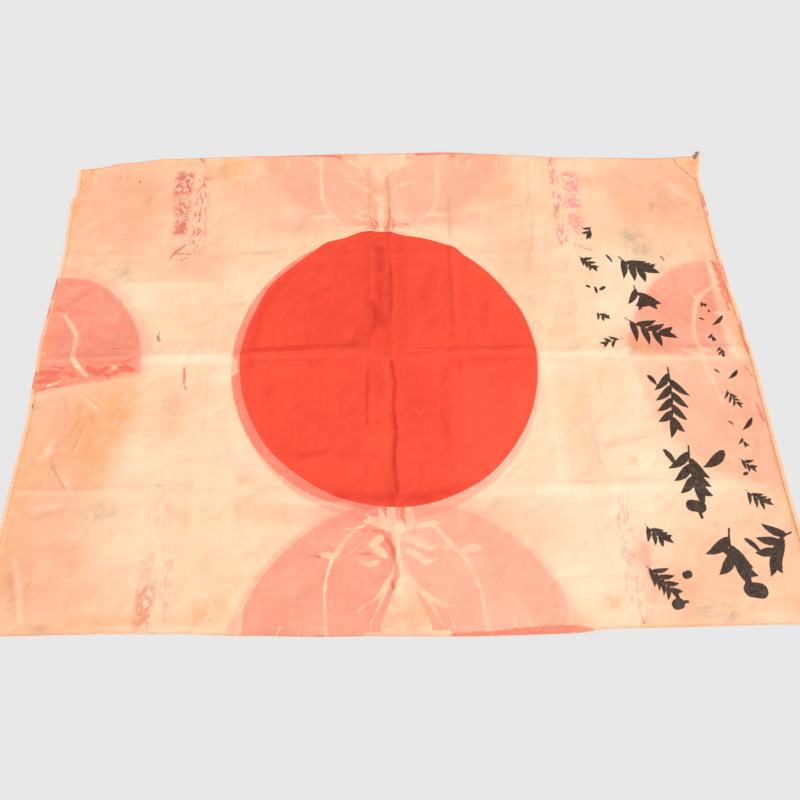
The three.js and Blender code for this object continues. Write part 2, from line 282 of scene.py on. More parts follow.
# Dark spots: (x, y, half width).
SOIL_MARKS = [
    [(-339, 34, 2.2), (-337, 29, 2.6)], [(-338, 38, 1.0), (-337, 43, 0.5)],
    [(-492, -66, 1.4), (-491, -70, 0.8)], [(-436, 317, 1.0), (-435, 315, 1.4)],
    [(403, 157, 2.4), (405, 151, 1.8)], [(-402, 15, 0.4), (-392, 16, 0.9)],
    [(-231, 98, 0.8), (-226, 97, 0.6)], [(-404, 309, 1.4), (-403, 305, 1.0)],
    [(478, 320, 1.2), (476, 316, 1.6)],
]

# Lines along folds: (tone, half width, then their points). A tone over 0 is painted shade along the crease
# together with dirt and dye, and one under 0 is painted light on its lit side together with silk rubbed pale.
FOLD_PAINTED_LIGHT_AND_DIRT = [
    (0.55, 5, (-218, 10), (-140, 13), (-60, 18), (-46, 14)), (0.16, 7, (-140, 20), (-50, 26)),
    (-0.3, 5, (-218, 3), (-120, 5), (0, 6), (196, 4)), (0.3, 2.5, (-205, -6), (-120, -5), (-46, -5)),
    (0.34, 6, (-206, -24), (-205, 20), (-197, 66), (-181, 102), (-155, 137), (-120, 166)),
    (0.55, 15, (-22, 190), (-23, 130), (-24, 36)), (0.26, 20, (-128, 136), (-80, 168), (-50, 170)),
    (0.22, 22, (-60, 150), (-56, 60), (-70, 40)), (0.2, 18, (60, 150), (40, 100), (50, 40)),
    (0.2, 14, (10, -60), (60, -90), (70, -140)), (0.24, 14, (-150, 60), (-90, 70), (-50, 90)),
    (0.2, 16, (-150, -70), (-90, -100)), (-0.5, 16, (110, -158), (152, -112), (180, -50)),
    (0.22, 7, (130, 90), (128, 60), (120, 30)), (0.5, 3, (-46, 3), (-20, 2), (0, 4), (20, 1), (60, 4)),
    (0.4, 3, (20, 10), (110, 9), (190, 11)), (0.22, 3, (100, -4), (190, -6)), (0.2, 3, (-500, 8), (-440, 10)),
    (-0.5, 6, (-362, 3), (-300, 2), (-236, 0)), (0.22, 3, (-358, 11), (-300, 9), (-262, 10)),
    (-0.35, 4, (200, -3), (260, -3), (340, -6)), (0.2, 2.5, (205, 2), (250, 2)),
    (0.45, 1.4, (404, 8), (440, 9), (500, 9)), (0.3, 1.6, (406, -6), (440, -7), (476, -7)),
    (0.35, 3.5, (-286, 161), (-250, 167), (-200, 172), (-178, 171)),
    (0.2, 5, (-470, 155), (-400, 158), (-350, 160)), (0.16, 2.5, (-340, 124), (-300, 125), (-263, 124)),
    (-0.25, 4, (-400, 118), (-330, 118), (-270, 120)), (-0.2, 4, (-260, 121), (-215, 120)),
    (0.16, 2.4, (-490, -176), (-420, -180), (-340, -177), (-262, -178)),
    (-0.35, 3.0, (-492, -184), (-390, -184), (-265, -182)), (0.4, 2.0, (-232, -189), (-204, -190)),
    (-0.3, 3, (-262, -179), (-200, -181)), (0.5, 9, (-98, -192), (-40, -198), (30, -198), (90, -188)),
    (0.26, 8, (-292, -145), (-215, -146)), (0.4, 6, (-142, -143), (-112, -140), (-88, -133)),
    (0.2, 7, (-88, -142), (-20, -145)), (0.2, 4, (196, -184), (262, -185)),
    (0.22, 2.6, (270, -181), (300, -179), (330, -178)), (0.25, 2.6, (276, -188), (302, -193)),
    (0.26, 7, (262, -140), (290, -136), (345, -122)), (-0.25, 5, (200, -192), (330, -198)),
    (0.4, 2.4, (261, -126), (262, -150), (267, -186)), (0.25, 1.6, (266, -190), (263, -262)),
    (0.4, 5, (214, 226), (210, 196), (204, 165), (197, 138)), (0.3, 3, (206, 240), (214, 300), (220, 350)),
    (-0.2, 6, (222, 225), (218, 180), (214, 150)), (0.26, 2.4, (-261, 172), (-262, 60), (-262, -130)),
    (-0.2, 4, (-269, 120), (-268, 0), (-268, -170)), (0.4, 4, (85, 286), (84, 240), (84, 188)),
    (0.3, 5, (80, 180), (80, 80), (78, 20)), (-0.25, 4, (88, 180), (87, 60)), (0.5, 3, (88, -4), (85, -38)),
    (0.2, 4, (82, -45), (84, -170)), (0.26, 12, (96, -10), (150, -6)),
    (-0.25, 5, (90, -40), (120, -30), (182, -10)), (0.4, 4, (-8, 300), (-8, 262), (-9, 216)),
    (0.3, 4, (-35, 296), (-34, 262), (-33, 216)), (0.65, 3.2, (-9, 162), (-8, 130), (-8, 60)),
    (0.3, 3.5, (-11, 208), (-9, 166)), (0.5, 3.6, (-36, 206), (-33, 166)), (0.26, 4, (-38, 160), (-40, 100)),
    (0.75, 6, (-36, 96), (-32, 60), (-36, 28)), (0.25, 3.5, (-43, 100), (-41, 30)),
    (0.2, 8, (-24, 140), (-22, 90)), (-0.2, 5, (-15, 200), (-17, 60)),
    (0.75, 3.2, (-11, -4), (-5, -40), (-8, -76), (-5, -112), (-8, -150), (-4, -207)),
    (-0.3, 5, (-17, -10), (-14, -60), (-17, -150)), (0.45, 3, (-43, -10), (-44, -60), (-43, -112)),
    (0.3, 3, (-43, -140), (-46, -185)), (-0.2, 4, (-36, -40), (-37, -110)),
    (0.24, 16, (-28, -20), (-26, -70)), (0.4, 2.5, (-487, -2), (-472, 14), (-460, 38)),
    (0.4, 2.5, (-450, 36), (-420, 28), (-396, 20)), (0.55, 4, (-396, 16), (-364, 17)),
    (0.3, 13, (-476, 12), (-424, 14), (-384, 12)), (0.24, 11, (-440, 22), (-390, 12)),
    (0.3, 6, (-478, 90), (-452, 104), (-438, 118)), (0.35, 5, (-432, 124), (-418, 96), (-404, 84)),
    (0.3, 8, (-382, 70), (-368, 30), (-364, 10)), (0.3, 2, (-458, 0), (-420, 1), (-366, 8)),
    (-0.25, 2, (-496, -4), (-440, -1), (-370, 5)), (-0.2, 2.5, (-440, 8), (-400, 12)),
    (0.55, 1.6, (-454, -50), (-443, -83)), (0.4, 1.4, (-414, -80), (-407, -93)),
    (-0.4, 1.8, (-432, -52), (-416, -64), (-400, -80)), (-0.3, 1.6, (-420, -50), (-400, -66)),
    (0.55, 1.3, (-417, -91), (-423, -115), (-430, -140)),
    (0.95, 1.8, (-453, -144), (-440, -164), (-423, -186)), (-0.3, 3, (-436, -168), (-412, -186)),
    (-0.55, 5, (-464, -136), (-454, -120)), (0.4, 3, (-492, -72), (-478, -68)),
    (0.22, 4, (-460, -216), (-438, -210), (-408, -207)), (-0.25, 4, (-470, -206), (-430, -200)),
    (0.3, 4, (-480, -270), (-470, -296), (-460, -322)), (-0.3, 3.5, (-474, -262), (-458, -300), (-446, -345)),
    (0.2, 4, (-452, -300), (-440, -346)), (0.3, 2.4, (-412, -274), (-390, -271)),
    (0.36, 2.2, (-216, -213), (-198, -201), (-184, -187)), (0.3, 3, (-184, -70), (-176, -50), (-158, -42)),
    (0.24, 3, (-146, -82), (-130, -70), (-98, -66)), (0.22, 4, (-142, -96), (-120, -106)),
    (0.24, 3, (-118, 82), (-106, 104), (-94, 112)), (0.2, 3, (132, 92), (128, 70), (112, 60)),
    (0.25, 3, (118, 32), (142, 28)), (0.3, 4, (14, -88), (22, -94)), (0.3, 2.5, (463, 350), (460, 338)),
    (-0.4, 3, (467, 350), (467, 334)), (0.22, 4, (430, 292), (434, 262), (444, 250)),
    (-0.25, 6, (440, 304), (454, 280), (470, 262)), (0.25, 2.6, (-432, 180), (-420, 172)),
    (-0.3, 3.5, (-476, 216), (-456, 236)), (0.3, 1.6, (-464, 340), (-468, 300)),
    (0.25, 3, (-488, 300), (-484, 268), (-492, 248)), (0.3, 2.4, (350, 210), (352, 160)),
    (-0.4, 2.5, (-160, -199), (-120, -203), (-60, -206)), (-0.35, 2, (40, -198), (80, -199), (120, -199)),
    (0.3, 1.6, (-176, -188), (-140, -190), (-118, -192)),
]
FINE_LINE = 2.0  # a fold line this narrow or narrower has the cloth divided finely along it
SOFT_LINE = 4.0  # and one up to this has it divided less finely

# Leafy twigs brushed in ink, in two columns beside the disc:
# (x, y where the stalk starts, its direction in degrees, its length, its curl, pairs of leaves, leaf length,
# half width of a leaf)
TWIGS = [
    (306, 214, 226, 20, 24, 2, 15, 2.6), (276, 161, -36, 30, -22, 3, 17, 2.8),
    (289, 66, -50, 18, 24, 2, 13, 2.2), (320, 22, 204, 27, -20, 2, 16, 2.4),
    (338, 158, -50, 46, 34, 3, 34, 5.6), (352, 108, -76, 34, 30, 2, 30, 5.2),
    (330, 54, -38, 60, 20, 3, 35, 5.3), (377, -24, -90, 84, -14, 4, 37, 5.6),
    (383, -138, -100, 58, 18, 3, 39, 6.2), (412, -246, -104, 52, 34, 2, 40, 7.0),
    (490, -252, 200, 48, 50, 3, 34, 5.8), (306, -238, -52, 30, 24, 3, 20, 3.2),
    (298, -288, -36, 42, -24, 4, 24, 3.2), (446, 81, -60, 9, 0, 1, 9, 1.8), (452, 30, -96, 12, 0, 1, 11, 2.0),
    (458, 8, -92, 15, 12, 2, 10, 1.8), (453, -57, -76, 26, 20, 3, 15, 1.9),
    (458, -124, -88, 14, 0, 1, 12, 1.9), (446, -155, -34, 21, -20, 2, 15, 2.3),
    (445, -197, -50, 29, 26, 3, 18, 2.7),
]
# Single leaves: (x, y, direction in degrees, length, half width).
LEAVES = [
    (281, 109, -40, 8, 2.3), (293, 107, -84, 14, 2.4), (309, 107, 208, 13, 3.0), (318, 163, -62, 20, 2.2),
    (346, -36, -58, 20, 3.6), (348, -142, -62, 28, 4.2), (429, -145, 214, 40, 7.2), (428, -258, -48, 28, 3.6),
    (438, 52, -26, 10, 1.6), (474, 56, 218, 26, 3.0), (441, -28, -40, 12, 1.6), (475, -30, 218, 22, 3.0),
    (443, -104, -42, 12, 1.4), (478, -100, 224, 26, 3.2), (350, 74, 4, 40, 6.2), (394, -262, -60, 30, 5.0),
]
# Rounded buds under the twigs: (x, y, x, y, half width).
BUDS = [
    (371, -216, 382, -218, 7.6), (380, -226, 381, -231, 2.2), (422, -318, 434, -320, 9.0),
    (328, -333, 332, -332, 6.2), (338, -330, 342, -330, 1.8), (346, -300, 350, -299, 4.6),
    (449, -177, 452, -176, 2.2), (455, 64, 456, 63, 1.6),
]

# Broken pink rubs in upright strips: (low x, high x, low y, high y, strength).
RUBS = [
    (-346, -317, 278, 327, 1.0), (-344, -316, 240, 272, 0.9), (-338, -318, 204, 238, 1.0),
    (268, 297, 276, 322, 0.8), (268, 294, 246, 274, 0.75), (272, 292, 206, 240, 0.65),
    (-318, -296, -118, -52, 0.15), (-320, -298, -346, -296, 0.6), (-316, -303, -296, -250, 0.3),
    (294, 308, -346, -262, 0.36),
]
# Rubs of short upright dashes, in the same form.
DASHED_RUBS = [
    (-314, -293, 172, 318, 0.95), (246, 264, 178, 350, 0.8), (264, 290, 196, 262, 0.5),
    (-294, -276, -340, -250, 0.34), (268, 292, -350, -200, 0.45), (-316, -288, -240, -160, 0.2),
]
RUB_STROKES = [
    [(-338, 162, 1.0), (-332, 174, 2.2), (-318, 188, 1.6)], [(-330, 172, 0.8), (-308, 170, 1.4)],
    [(-322, 160, 1.6), (-312, 164, 1.0)],
    [(-296, -14, 1.3), (-295, -27, 2.1), (-294, -40, 1.1), (-290, -46, 1.4)],
]

# Broad stains: (x, y, x reach, y reach, strength).
PEACH_STAINS = [
    (-445, 240, 80, 100, 0.95), (-380, 300, 90, 60, 0.55), (-430, -100, 62, 80, 0.95),
    (-455, -215, 62, 90, 0.85), (-430, -310, 110, 62, 0.75), (-290, 220, 90, 70, 0.35),
    (-300, 150, 90, 30, 0.45), (-180, 290, 110, 90, 0.42), (-260, 60, 60, 60, 0.18), (60, 300, 160, 70, 0.24),
    (150, 290, 50, 70, 0.5), (200, 200, 60, 90, 0.27), (420, 290, 90, 80, 0.95), (400, 205, 95, 45, 0.3),
    (484, 190, 30, 200, 0.48), (480, -150, 40, 140, 0.62), (410, -110, 60, 60, 0.35),
    (400, -290, 100, 70, 0.6), (340, 250, 70, 70, 0.15), (330, -320, 40, 40, 0.5), (-345, -190, 60, 40, 0.2),
    (0, -345, 60, 16, 0.55), (230, 60, 60, 110, 0.16), (-240, 40, 22, 90, 0.25), (330, 22, 24, 14, 0.6),
    (-300, -240, 60, 60, 0.12), (-440, -160, 40, 30, 0.3), (-310, -80, 60, 60, 0.3), (150, -240, 90, 20, 0.3),
    (-150, -215, 60, 14, 0.5), (180, 130, 40, 60, 0.3),
]
PALE_STAINS = [
    (-235, -20, 16, 34, 1.0), (205, -225, 60, 36, 0.5), (330, -130, 50, 50, 0.6), (-300, 0, 66, 14, 0.8),
    (-390, 96, 50, 20, 0.6), (-225, 90, 34, 50, 0.45), (-230, 140, 40, 16, 0.8), (-200, -160, 34, 30, 0.7),
    (-340, -150, 60, 50, 0.7), (-330, -250, 50, 60, 0.5), (-240, -120, 50, 40, 0.5), (230, -10, 60, 26, 0.8),
    (300, 60, 50, 60, 0.55), (320, -190, 50, 60, 0.6), (280, -290, 80, 80, 0.8), (230, -200, 60, 30, 0.7),
    (150, 220, 40, 30, 0.4), (420, -195, 40, 24, 0.6), (470, 0, 20, 30, 0.6), (340, 130, 40, 60, 0.6),
    (120, 205, 50, 20, 0.5), (210, 110, 30, 60, 0.3), (-10, 228, 50, 14, 0.6), (340, -40, 30, 60, 0.4),
    (200, -300, 30, 40, 0.4), (470, -230, 30, 20, 0.4), (-420, -34, 40, 8, 0.8), (360, 330, 40, 12, 0.3),
]
ORANGE_STAINS = [
    (-372, -66, 20, 44, 1.0), (-394, -140, 24, 44, 0.95), (-412, -90, 36, 54, 0.7), (-480, -150, 24, 70, 0.6),
    (-276, 326, 36, 18, 1.0), (-350, 274, 9, 8, 0.9), (-255, 310, 16, 30, 0.4), (-235, 346, 60, 9, 0.6),
    (-492, 325, 14, 24, 0.9), (-495, 240, 7, 70, 0.9), (-190, 330, 11, 8, 0.7), (-430, 345, 60, 8, 0.5),
    (250, -328, 12, 10, 1.0), (-232, -325, 22, 12, 0.9), (-250, -338, 40, 8, 0.7), (-355, -336, 40, 7, 0.9),
    (-430, -345, 60, 8, 0.5), (310, 300, 9, 9, 0.8), (180, 330, 20, 10, 0.5), (178, 285, 12, 18, 0.45),
    (240, 318, 8, 10, 0.6), (332, -207, 8, 6, 0.7), (308, -155, 7, 5, 0.7), (-205, -172, 8, 6, 0.8),
    (485, 335, 16, 14, 0.7), (-120, 358, 60, 5, 0.4), (130, 350, 60, 6, 0.5), (250, 348, 30, 8, 0.6),
    (420, 350, 50, 6, 0.6), (-496, 20, 6, 70, 0.9), (-492, -100, 8, 80, 0.6), (-486, -270, 10, 60, 0.5),
    (499, -230, 7, 90, 0.8), (497, 60, 7, 90, 0.6), (29, -289, 6, 6, 0.4), (348, 6, 14, 12, 1.0),
    (-38, 262, 6, 34, 0.95), (-8, 250, 5, 40, 0.7), (-20, 300, 26, 30, 0.35), (-470, -30, 30, 6, 0.5),
    (-205, -212, 8, 6, 0.5), (-312, -330, 10, 14, 0.8), (-330, 340, 30, 8, 0.5), (120, -330, 8, 8, 0.3),
    (-487, 318, 8, 26, 1.0), (-474, 336, 22, 6, 0.9), (12, -336, 36, 16, 0.6), (486, -334, 26, 14, 0.8),
    (486, 130, 8, 60, 0.6), (490, 30, 8, 40, 0.8), (-484, 296, 12, 12, 0.6), (210, -350, 30, 6, 0.5),
    (330, -355, 80, 4, 0.5), (-280, -216, 18, 14, 0.4), (236, -90, 16, 20, 0.3),
]
PINK_STAINS = [
    (-180, 280, 60, 70, 0.4), (-350, 200, 60, 26, 0.35), (-305, 155, 50, 24, 0.4), (-385, -25, 26, 20, 0.5),
    (-475, -70, 22, 26, 0.4), (-230, -110, 30, 30, 0.25), (120, -215, 90, 16, 0.5), (-80, -222, 60, 12, 0.6),
    (440, -60, 40, 50, 0.35), (486, -120, 16, 80, 0.4), (400, -160, 30, 30, 0.2), (420, 60, 60, 70, 0.5),
    (474, 90, 26, 70, 0.5), (112, 226, 44, 22, 0.6), (-132, 224, 40, 20, 0.6), (-352, 24, 14, 30, 0.5),
    (-190, -158, 30, 24, 0.5), (300, -270, 14, 26, 0.6), (-190, -195, 26, 12, 0.3), (-305, -70, 20, 20, 0.35),
    (250, -130, 40, 20, 0.12), (-300, 22, 50, 9, 0.35), (60, 240, 40, 20, 0.4), (150, 175, 60, 30, 0.25),
    (380, 300, 40, 30, 0.35), (-40, 225, 50, 10, 0.5),
]
SMUDGES = [
    (372, 176, 22, 30, 0.9), (354, 200, 12, 12, 0.7), (398, 138, 16, 14, 0.5), (-382, -208, 22, 12, 1.0),
    (-366, -206, 9, 7, 0.9), (-402, 140, 22, 18, 0.6), (-410, 90, 18, 10, 0.3), (372, -340, 22, 8, 0.9),
    (392, -345, 10, 8, 0.8), (-425, -345, 12, 7, 0.7), (396, -240, 9, 4, 0.8), (370, -258, 12, 10, 0.4),
    (392, -318, 20, 10, 0.3), (-270, -100, 12, 12, 0.15), (425, 262, 18, 26, 0.3), (425, -20, 16, 9, 0.25),
    (-330, 345, 18, 5, 0.4), (405, 252, 8, 8, 0.5), (-460, -300, 16, 30, 0.25), (500, -280, 8, 30, 0.5),
    (480, -345, 12, 6, 0.4), (-360, -236, 22, 5, 0.4), (336, 4, 4, 8, 0.4),
]


# ---- forms in numbers: every function here takes arrays of x and y in millimetres ----

def eased(value, low, high):
    """0 below low, 1 above high, and a soft S between."""
    share = np.clip((value - low) / (high - low), 0, 1)
    return share * share * (3 - 2 * share)


def along(table, place):
    """The table's value at each place, eased between its rows."""
    places = np.array([row[0] for row in table], float)
    values = np.array([row[1] for row in table], float)
    after = np.clip(np.searchsorted(places, place, side="right"), 1, len(places) - 1)
    share = eased(place, places[after - 1], places[after])
    return values[after - 1] + (values[after] - values[after - 1]) * share


def wavered(x, y):
    """The plain rectangle's points moved so that the outline wavers and the middle stays put."""
    near_left = 1 - eased(x, -HALF_WIDTH, -HALF_WIDTH + RIM)
    near_right = eased(x, HALF_WIDTH - RIM, HALF_WIDTH)
    near_bottom = 1 - eased(y, -HALF_DROP, -HALF_DROP + RIM)
    near_top = eased(y, HALF_DROP - RIM, HALF_DROP)
    return (x - along(LEFT_EDGE, y) * near_left + along(RIGHT_EDGE, y) * near_right,
            y - along(BOTTOM_EDGE, x) * near_bottom + along(TOP_EDGE, x) * near_top)


def run_gap(x, y, run):
    """The distance to a run of (x, y, half width), less its half width: below 0 inside it."""
    gap = np.full(np.shape(x), float(MARK_REACH))
    for (ax, ay, a_half), (bx, by, b_half) in zip(run, run[1:]):
        dx, dy = bx - ax, by - ay
        share = np.clip(((x - ax) * dx + (y - ay) * dy) / (dx * dx + dy * dy), 0, 1)
        reach = np.hypot(x - ax - dx * share, y - ay - dy * share)
        gap = np.minimum(gap, reach - (a_half + (b_half - a_half) * share))
    return gap


def near(x, y, run, reach):
    """Which points are within reach of the box round a run."""
    places = np.array([point[:2] for point in run])
    half = max(point[2] for point in run) if len(run[0]) > 2 else 0
    low, high = places.min(axis=0) - half - reach, places.max(axis=0) + half + reach
    return (x > low[0]) & (x < high[0]) & (y > low[1]) & (y < high[1])


def runs_gap(x, y, runs):
    gap = np.full(np.shape(x), float(MARK_REACH))
    for run in runs:
        here = near(x, y, run, MARK_REACH)
        gap[here] = np.minimum(gap[here], run_gap(x[here], y[here], run))
    return gap


def print_gap(x, y, stain):
    """The distance outside a print: a disc less what its cuts take off."""
    gap = np.hypot(x - stain[0], y - stain[1]) - stain[2]
    for across, up, limit in stain[7]:
        gap = np.maximum(gap, (across * x + up * y - limit) / math.hypot(across, up))
    return gap


def blots(x, y, table):
    """The sum of soft-edged stains with even middles, at most 1."""
    total = np.zeros(np.shape(x))
    for at_x, at_y, reach_x, reach_y, strength in table:
        spread = ((x - at_x) / reach_x) ** 2 + ((y - at_y) / reach_y) ** 2
        total += strength * np.exp(-spread ** BLOT_STEEPNESS)
    return np.minimum(total, 1)


def strips(x, y, table):
    """Upright strips with soft ends."""
    total = np.zeros(np.shape(x))
    for low_x, high_x, low_y, high_y, strength in table:
        inside = strength
        for place, low, high, fade in ((x, low_x, high_x, STRIP_SIDES), (y, low_y, high_y, STRIP_ENDS)):
            out, back = fade
            inside = inside * eased(place, low - out, low + back)
            inside = inside * (1 - eased(place, high - back, high + out))
        total = np.maximum(total, inside)
    return total


LEAF_STEPS = 7
LEAF_BEND = 0.16
LEAF_START = 0.14  # a leaf's half width where it leaves the stalk, as a share of its greatest
LEAF_FULLEST = 0.75  # under 1 brings the leaf's widest place nearer its stalk
LEAF_TURN = 46  # the angle in degrees between the stalk and a side leaf
TIP_SHRINK = 0.35  # how much shorter the leaves at the twig's tip are
STALK_HALF = 0.2  # the stalk's half width as a share of a leaf's


def leaf_run(x, y, degrees, length, half, bend):
    """One pressed and lifted brush stroke: thin, then wide, then drawn out to a point."""
    turn = math.radians(degrees)
    run = []
    for step in range(LEAF_STEPS + 1):
        share = step / LEAF_STEPS
        side = bend * length * share * (1 - share) * 2
        swell = math.sin(math.pi * share ** LEAF_FULLEST)
        width = half * (LEAF_START * (1 - share) + (1 - LEAF_START) * swell)
        run.append((x + length * share * math.cos(turn) - side * math.sin(turn),
                    y + length * share * math.sin(turn) + side * math.cos(turn), width))
    return run


def eased_line(points, steps):
    """A smooth line through points, by Catmull and Rom's rule, with the direction at each of its points."""
    points = np.array(points, float)
    padded = np.vstack([2 * points[0] - points[1], points, 2 * points[-1] - points[-2]])
    line = []
    for step in range(steps + 1):
        place = min(step / steps * (len(points) - 1), len(points) - 1 - 1e-6)
        part = int(place)
        share = place - part
        a, b, c, d = padded[part:part + 4]
        line.append(0.5 * (2 * b + (c - a) * share + (2 * a - 5 * b + 4 * c - d) * share ** 2
                           + (3 * b - a - 3 * c + d) * share ** 3))
    line = np.array(line)
    return line, np.gradient(line, axis=0)


def smoothed(runs):
    return [eased_line(run, VEIN_STEPS * (len(run) - 1))[0] if len(run) > 2 else run for run in runs]


def twig_runs(x, y, degrees, length, curl, pairs, leaf, half):
    """A curling stalk with a leaf at its tip and leaves that leave it to either side by turns."""
    runs, stalk, count = [], [(x, y, half * STALK_HALF)], 2 * pairs
    for number in range(count):
        heading = math.radians(degrees + curl * number / count)
        x += length / (count + 1) * math.cos(heading)
        y += length / (count + 1) * math.sin(heading)
        stalk.append((x, y, half * STALK_HALF))
        side = 1 if number % 2 else -1
        reach = leaf * (1 - TIP_SHRINK * number / count)
        runs.append(leaf_run(x, y, math.degrees(heading) + side * LEAF_TURN, reach, half, -side * LEAF_BEND))
    runs.append(leaf_run(x, y, degrees + curl, leaf * (1 - TIP_SHRINK / 2), half, LEAF_BEND))
    return [stalk] + runs


VEIN_STEPS = 3
CURVED_VEINS, CURVED_SOFT_VEINS = smoothed(VEINS), smoothed(SOFT_VEINS)
INK_RUNS = ([[(ax, ay, half), (bx, by, half)] for ax, ay, bx, by, half in BUDS]
            + [leaf_run(*leaf, LEAF_BEND) for leaf in LEAVES]
            + [run for twig in TWIGS for run in twig_runs(*twig)])


def crease_lift(creases, across, place):
    """The height of a set of parallel creases: sharp crests whose slopes run out softly."""
    total = np.zeros(np.shape(across))
    for at, lift, reach, start, end in creases:
        slope = np.maximum(0, 1 - np.abs(across - at) / reach) ** 2
        held = eased(place, start, start + CREASE_FADE) * (1 - eased(place, end - CREASE_FADE, end))
        total += (lift * slope * held) ** 2
    return np.sqrt(total)


def line_gaps(x, y, table):
    """Yields each row of a table of lines with the points near it and their distances."""
    for row in table:
        run = [(*point, 0) for point in row[2:]]
        reach = LINE_REACH * row[1]
        here = near(x, y, run, reach)
        gap = np.full(np.shape(x), 10.0 * reach)
        gap[here] = run_gap(x[here], y[here], run)
        ends = min(math.dist(row[2], row[-1]) / 3, LINE_FADE)
        fade = np.ones(np.shape(x))
        for end in (row[2], row[-1]):
            fade[here] *= eased(np.hypot(x[here] - end[0], y[here] - end[1]), 0, ends)
        yield row, gap, fade


def wrinkle_lift(x, y):
    total = np.zeros(np.shape(x))
    for (lift, reach, *_), gap, fade in line_gaps(x, y, WRINKLES):
        total += (lift * fade * np.maximum(0, 1 - gap / reach) ** 2) ** 2
    return np.sqrt(total)


def fold_tone(x, y):
    """How much painted shade with dirt (over 0), and painted light with silk rubbed pale (under 0), the folds
    have.
    """
    dark, pale = np.zeros(np.shape(x)), np.zeros(np.shape(x))
    for (tone, half, *_), gap, fade in line_gaps(x, y, FOLD_PAINTED_LIGHT_AND_DIRT):
        mark = abs(tone) * np.exp(-(gap / half) ** 2) * (LINE_END + (1 - LINE_END) * fade)
        if tone > 0:
            dark = np.maximum(dark, mark)
        else:
            pale = np.maximum(pale, mark)
    return dark - pale


def ripple(x, y):
    """Slight unevenness of limp silk, always 0 or more."""
    a, b, c, d = LONG_WAVES
    waves = np.sin(x / a + 1.3 * np.sin(y / b)) * np.sin(y / c + 1.1 * np.sin(x / d))
    a, b, c, d = SHORT_WAVES
    waves += SHORT_SHARE * np.sin(x / a + y / b) * np.sin(y / c - x / d)
    return RIPPLE * (waves + RIPPLE_FLOOR)


def fold_rise(x, y):
    """The height of the storage creases and the broad swells."""
    turn = 2 * math.pi / PUFF_LENGTH
    swell = np.sin(turn * (x * PUFF_ALONG[0] + y * PUFF_ALONG[1])) * np.sin(
        turn * (x * PUFF_ACROSS[0] + y * PUFF_ACROSS[1]))
    puff = PUFF * np.maximum(0, swell - PUFF_FLOOR)
    creases = CREASE_SHARE * np.hypot(crease_lift(UP_CREASES, x, y), crease_lift(ACROSS_CREASES, y, x))
    return np.hypot(creases, puff) * corner_calm(x, y)


def corner_calm(x, y):
    return eased(np.hypot(x - FLAG_CORNER[0], y - FLAG_CORNER[1]), CALM_FROM, CALM_TO)


def thickness(x):
    """The cloth's thickness: more where a side is turned in and stitched."""
    left = 1 - eased(x, LEFT_LINE - LEFT_STEP, LEFT_LINE + LEFT_STEP)
    right = eased(x, RIGHT_LINE - RIGHT_STEP, RIGHT_LINE + RIGHT_STEP)
    return SHEET_THICKNESS + HEM_EXTRA * (left + right)


def front_height(x, y):
    small = np.hypot(wrinkle_lift(x, y), ripple(x, y)) * corner_calm(x, y)
    return FLOOR_CLEARANCE + np.hypot(fold_rise(x, y), small) + thickness(x)


def painted_fields(x, y):
    """What the dyes, stains and ink do at each point of the cloth, by field name."""
    bearing = np.degrees(np.arctan2(y - DISC[1], x - DISC[0]))
    fields = {f"print_{number}": print_gap(x, y, stain) for number, stain in enumerate(PRINTS)}
    fields |= {
        "disc_gap": np.hypot(x - DISC[0], y - DISC[1]) - DISC[2] - along(DISC_WAVER, bearing),
        "vein_gap": runs_gap(x, y, CURVED_VEINS),
        "soft_vein_gap": runs_gap(x, y, CURVED_SOFT_VEINS),
        "red_gap": runs_gap(x, y, RED_MARKS),
        "soil_gap": runs_gap(x, y, SOIL_MARKS),
        "stroke_gap": runs_gap(x, y, RUB_STROKES),
        "ink_gap": runs_gap(x, y, INK_RUNS),
        "fold_tone": fold_tone(x, y),
        "rub": strips(x, y, RUBS),
        "dashed_rub": strips(x, y, DASHED_RUBS),
        "peach": blots(x, y, PEACH_STAINS),
        "pale": blots(x, y, PALE_STAINS),
        "orange": blots(x, y, ORANGE_STAINS),
        "pink": blots(x, y, PINK_STAINS),
        "smudge": blots(x, y, SMUDGES),
    }
    return fields


FINE_FIELDS = ("ink_gap", "vein_gap", "red_gap", "soil_gap", "stroke_gap")
MARK_MARGIN = 0.3  # how far outside a fine mark the cloth is still divided finely
BLURRED_SHARE = 0.7  # for a blurred mark only this share of a cell's half diagonal counts
FINE_SHARE, SOFT_SHARE, WRINKLE_SHARE = 0.6, 0.8, 0.4  # how much of a fold's half width counts, by its kind


def leaf_sizes(x, y, half_diagonal):
    """How many fine steps each cell, given by its middle, leaves together: 1 where a fine mark crosses it."""
    fields = painted_fields(x, y)
    fine = np.abs(fields["soft_vein_gap"]) < BLURRED_SHARE * half_diagonal
    for name in FINE_FIELDS:
        fine |= np.abs(fields[name]) < half_diagonal + MARK_MARGIN
    soft = np.abs(fields["disc_gap"]) < half_diagonal
    for (_, half, *_), gap, _ in line_gaps(x, y, FOLD_PAINTED_LIGHT_AND_DIRT):
        if half <= FINE_LINE:
            fine |= gap < half_diagonal * BLURRED_SHARE + half * FINE_SHARE
        elif half <= SOFT_LINE:
            soft |= gap < half_diagonal + half * SOFT_SHARE
    for (_, reach, *_), gap, _ in line_gaps(x, y, WRINKLES):
        soft |= gap < half_diagonal + reach * WRINKLE_SHARE
    return np.where(fine, 1, np.where(soft, HALF_SPLIT, SPLIT))


# ---- meshes ----

def linked(name, mesh):
    piece = bpy.data.objects.new(name, mesh)
    bpy.context.scene.collection.objects.link(piece)
    return piece


def mesh_of(name, points_mm, faces):
    mesh = bpy.data.meshes.new(name)
    mesh.from_pydata([tuple(point) for point in np.asarray(points_mm, float) * MM], [], faces)
    mesh.validate()
    mesh.polygons.foreach_set("use_smooth", [True] * len(mesh.polygons))
    mesh.update()
    return mesh


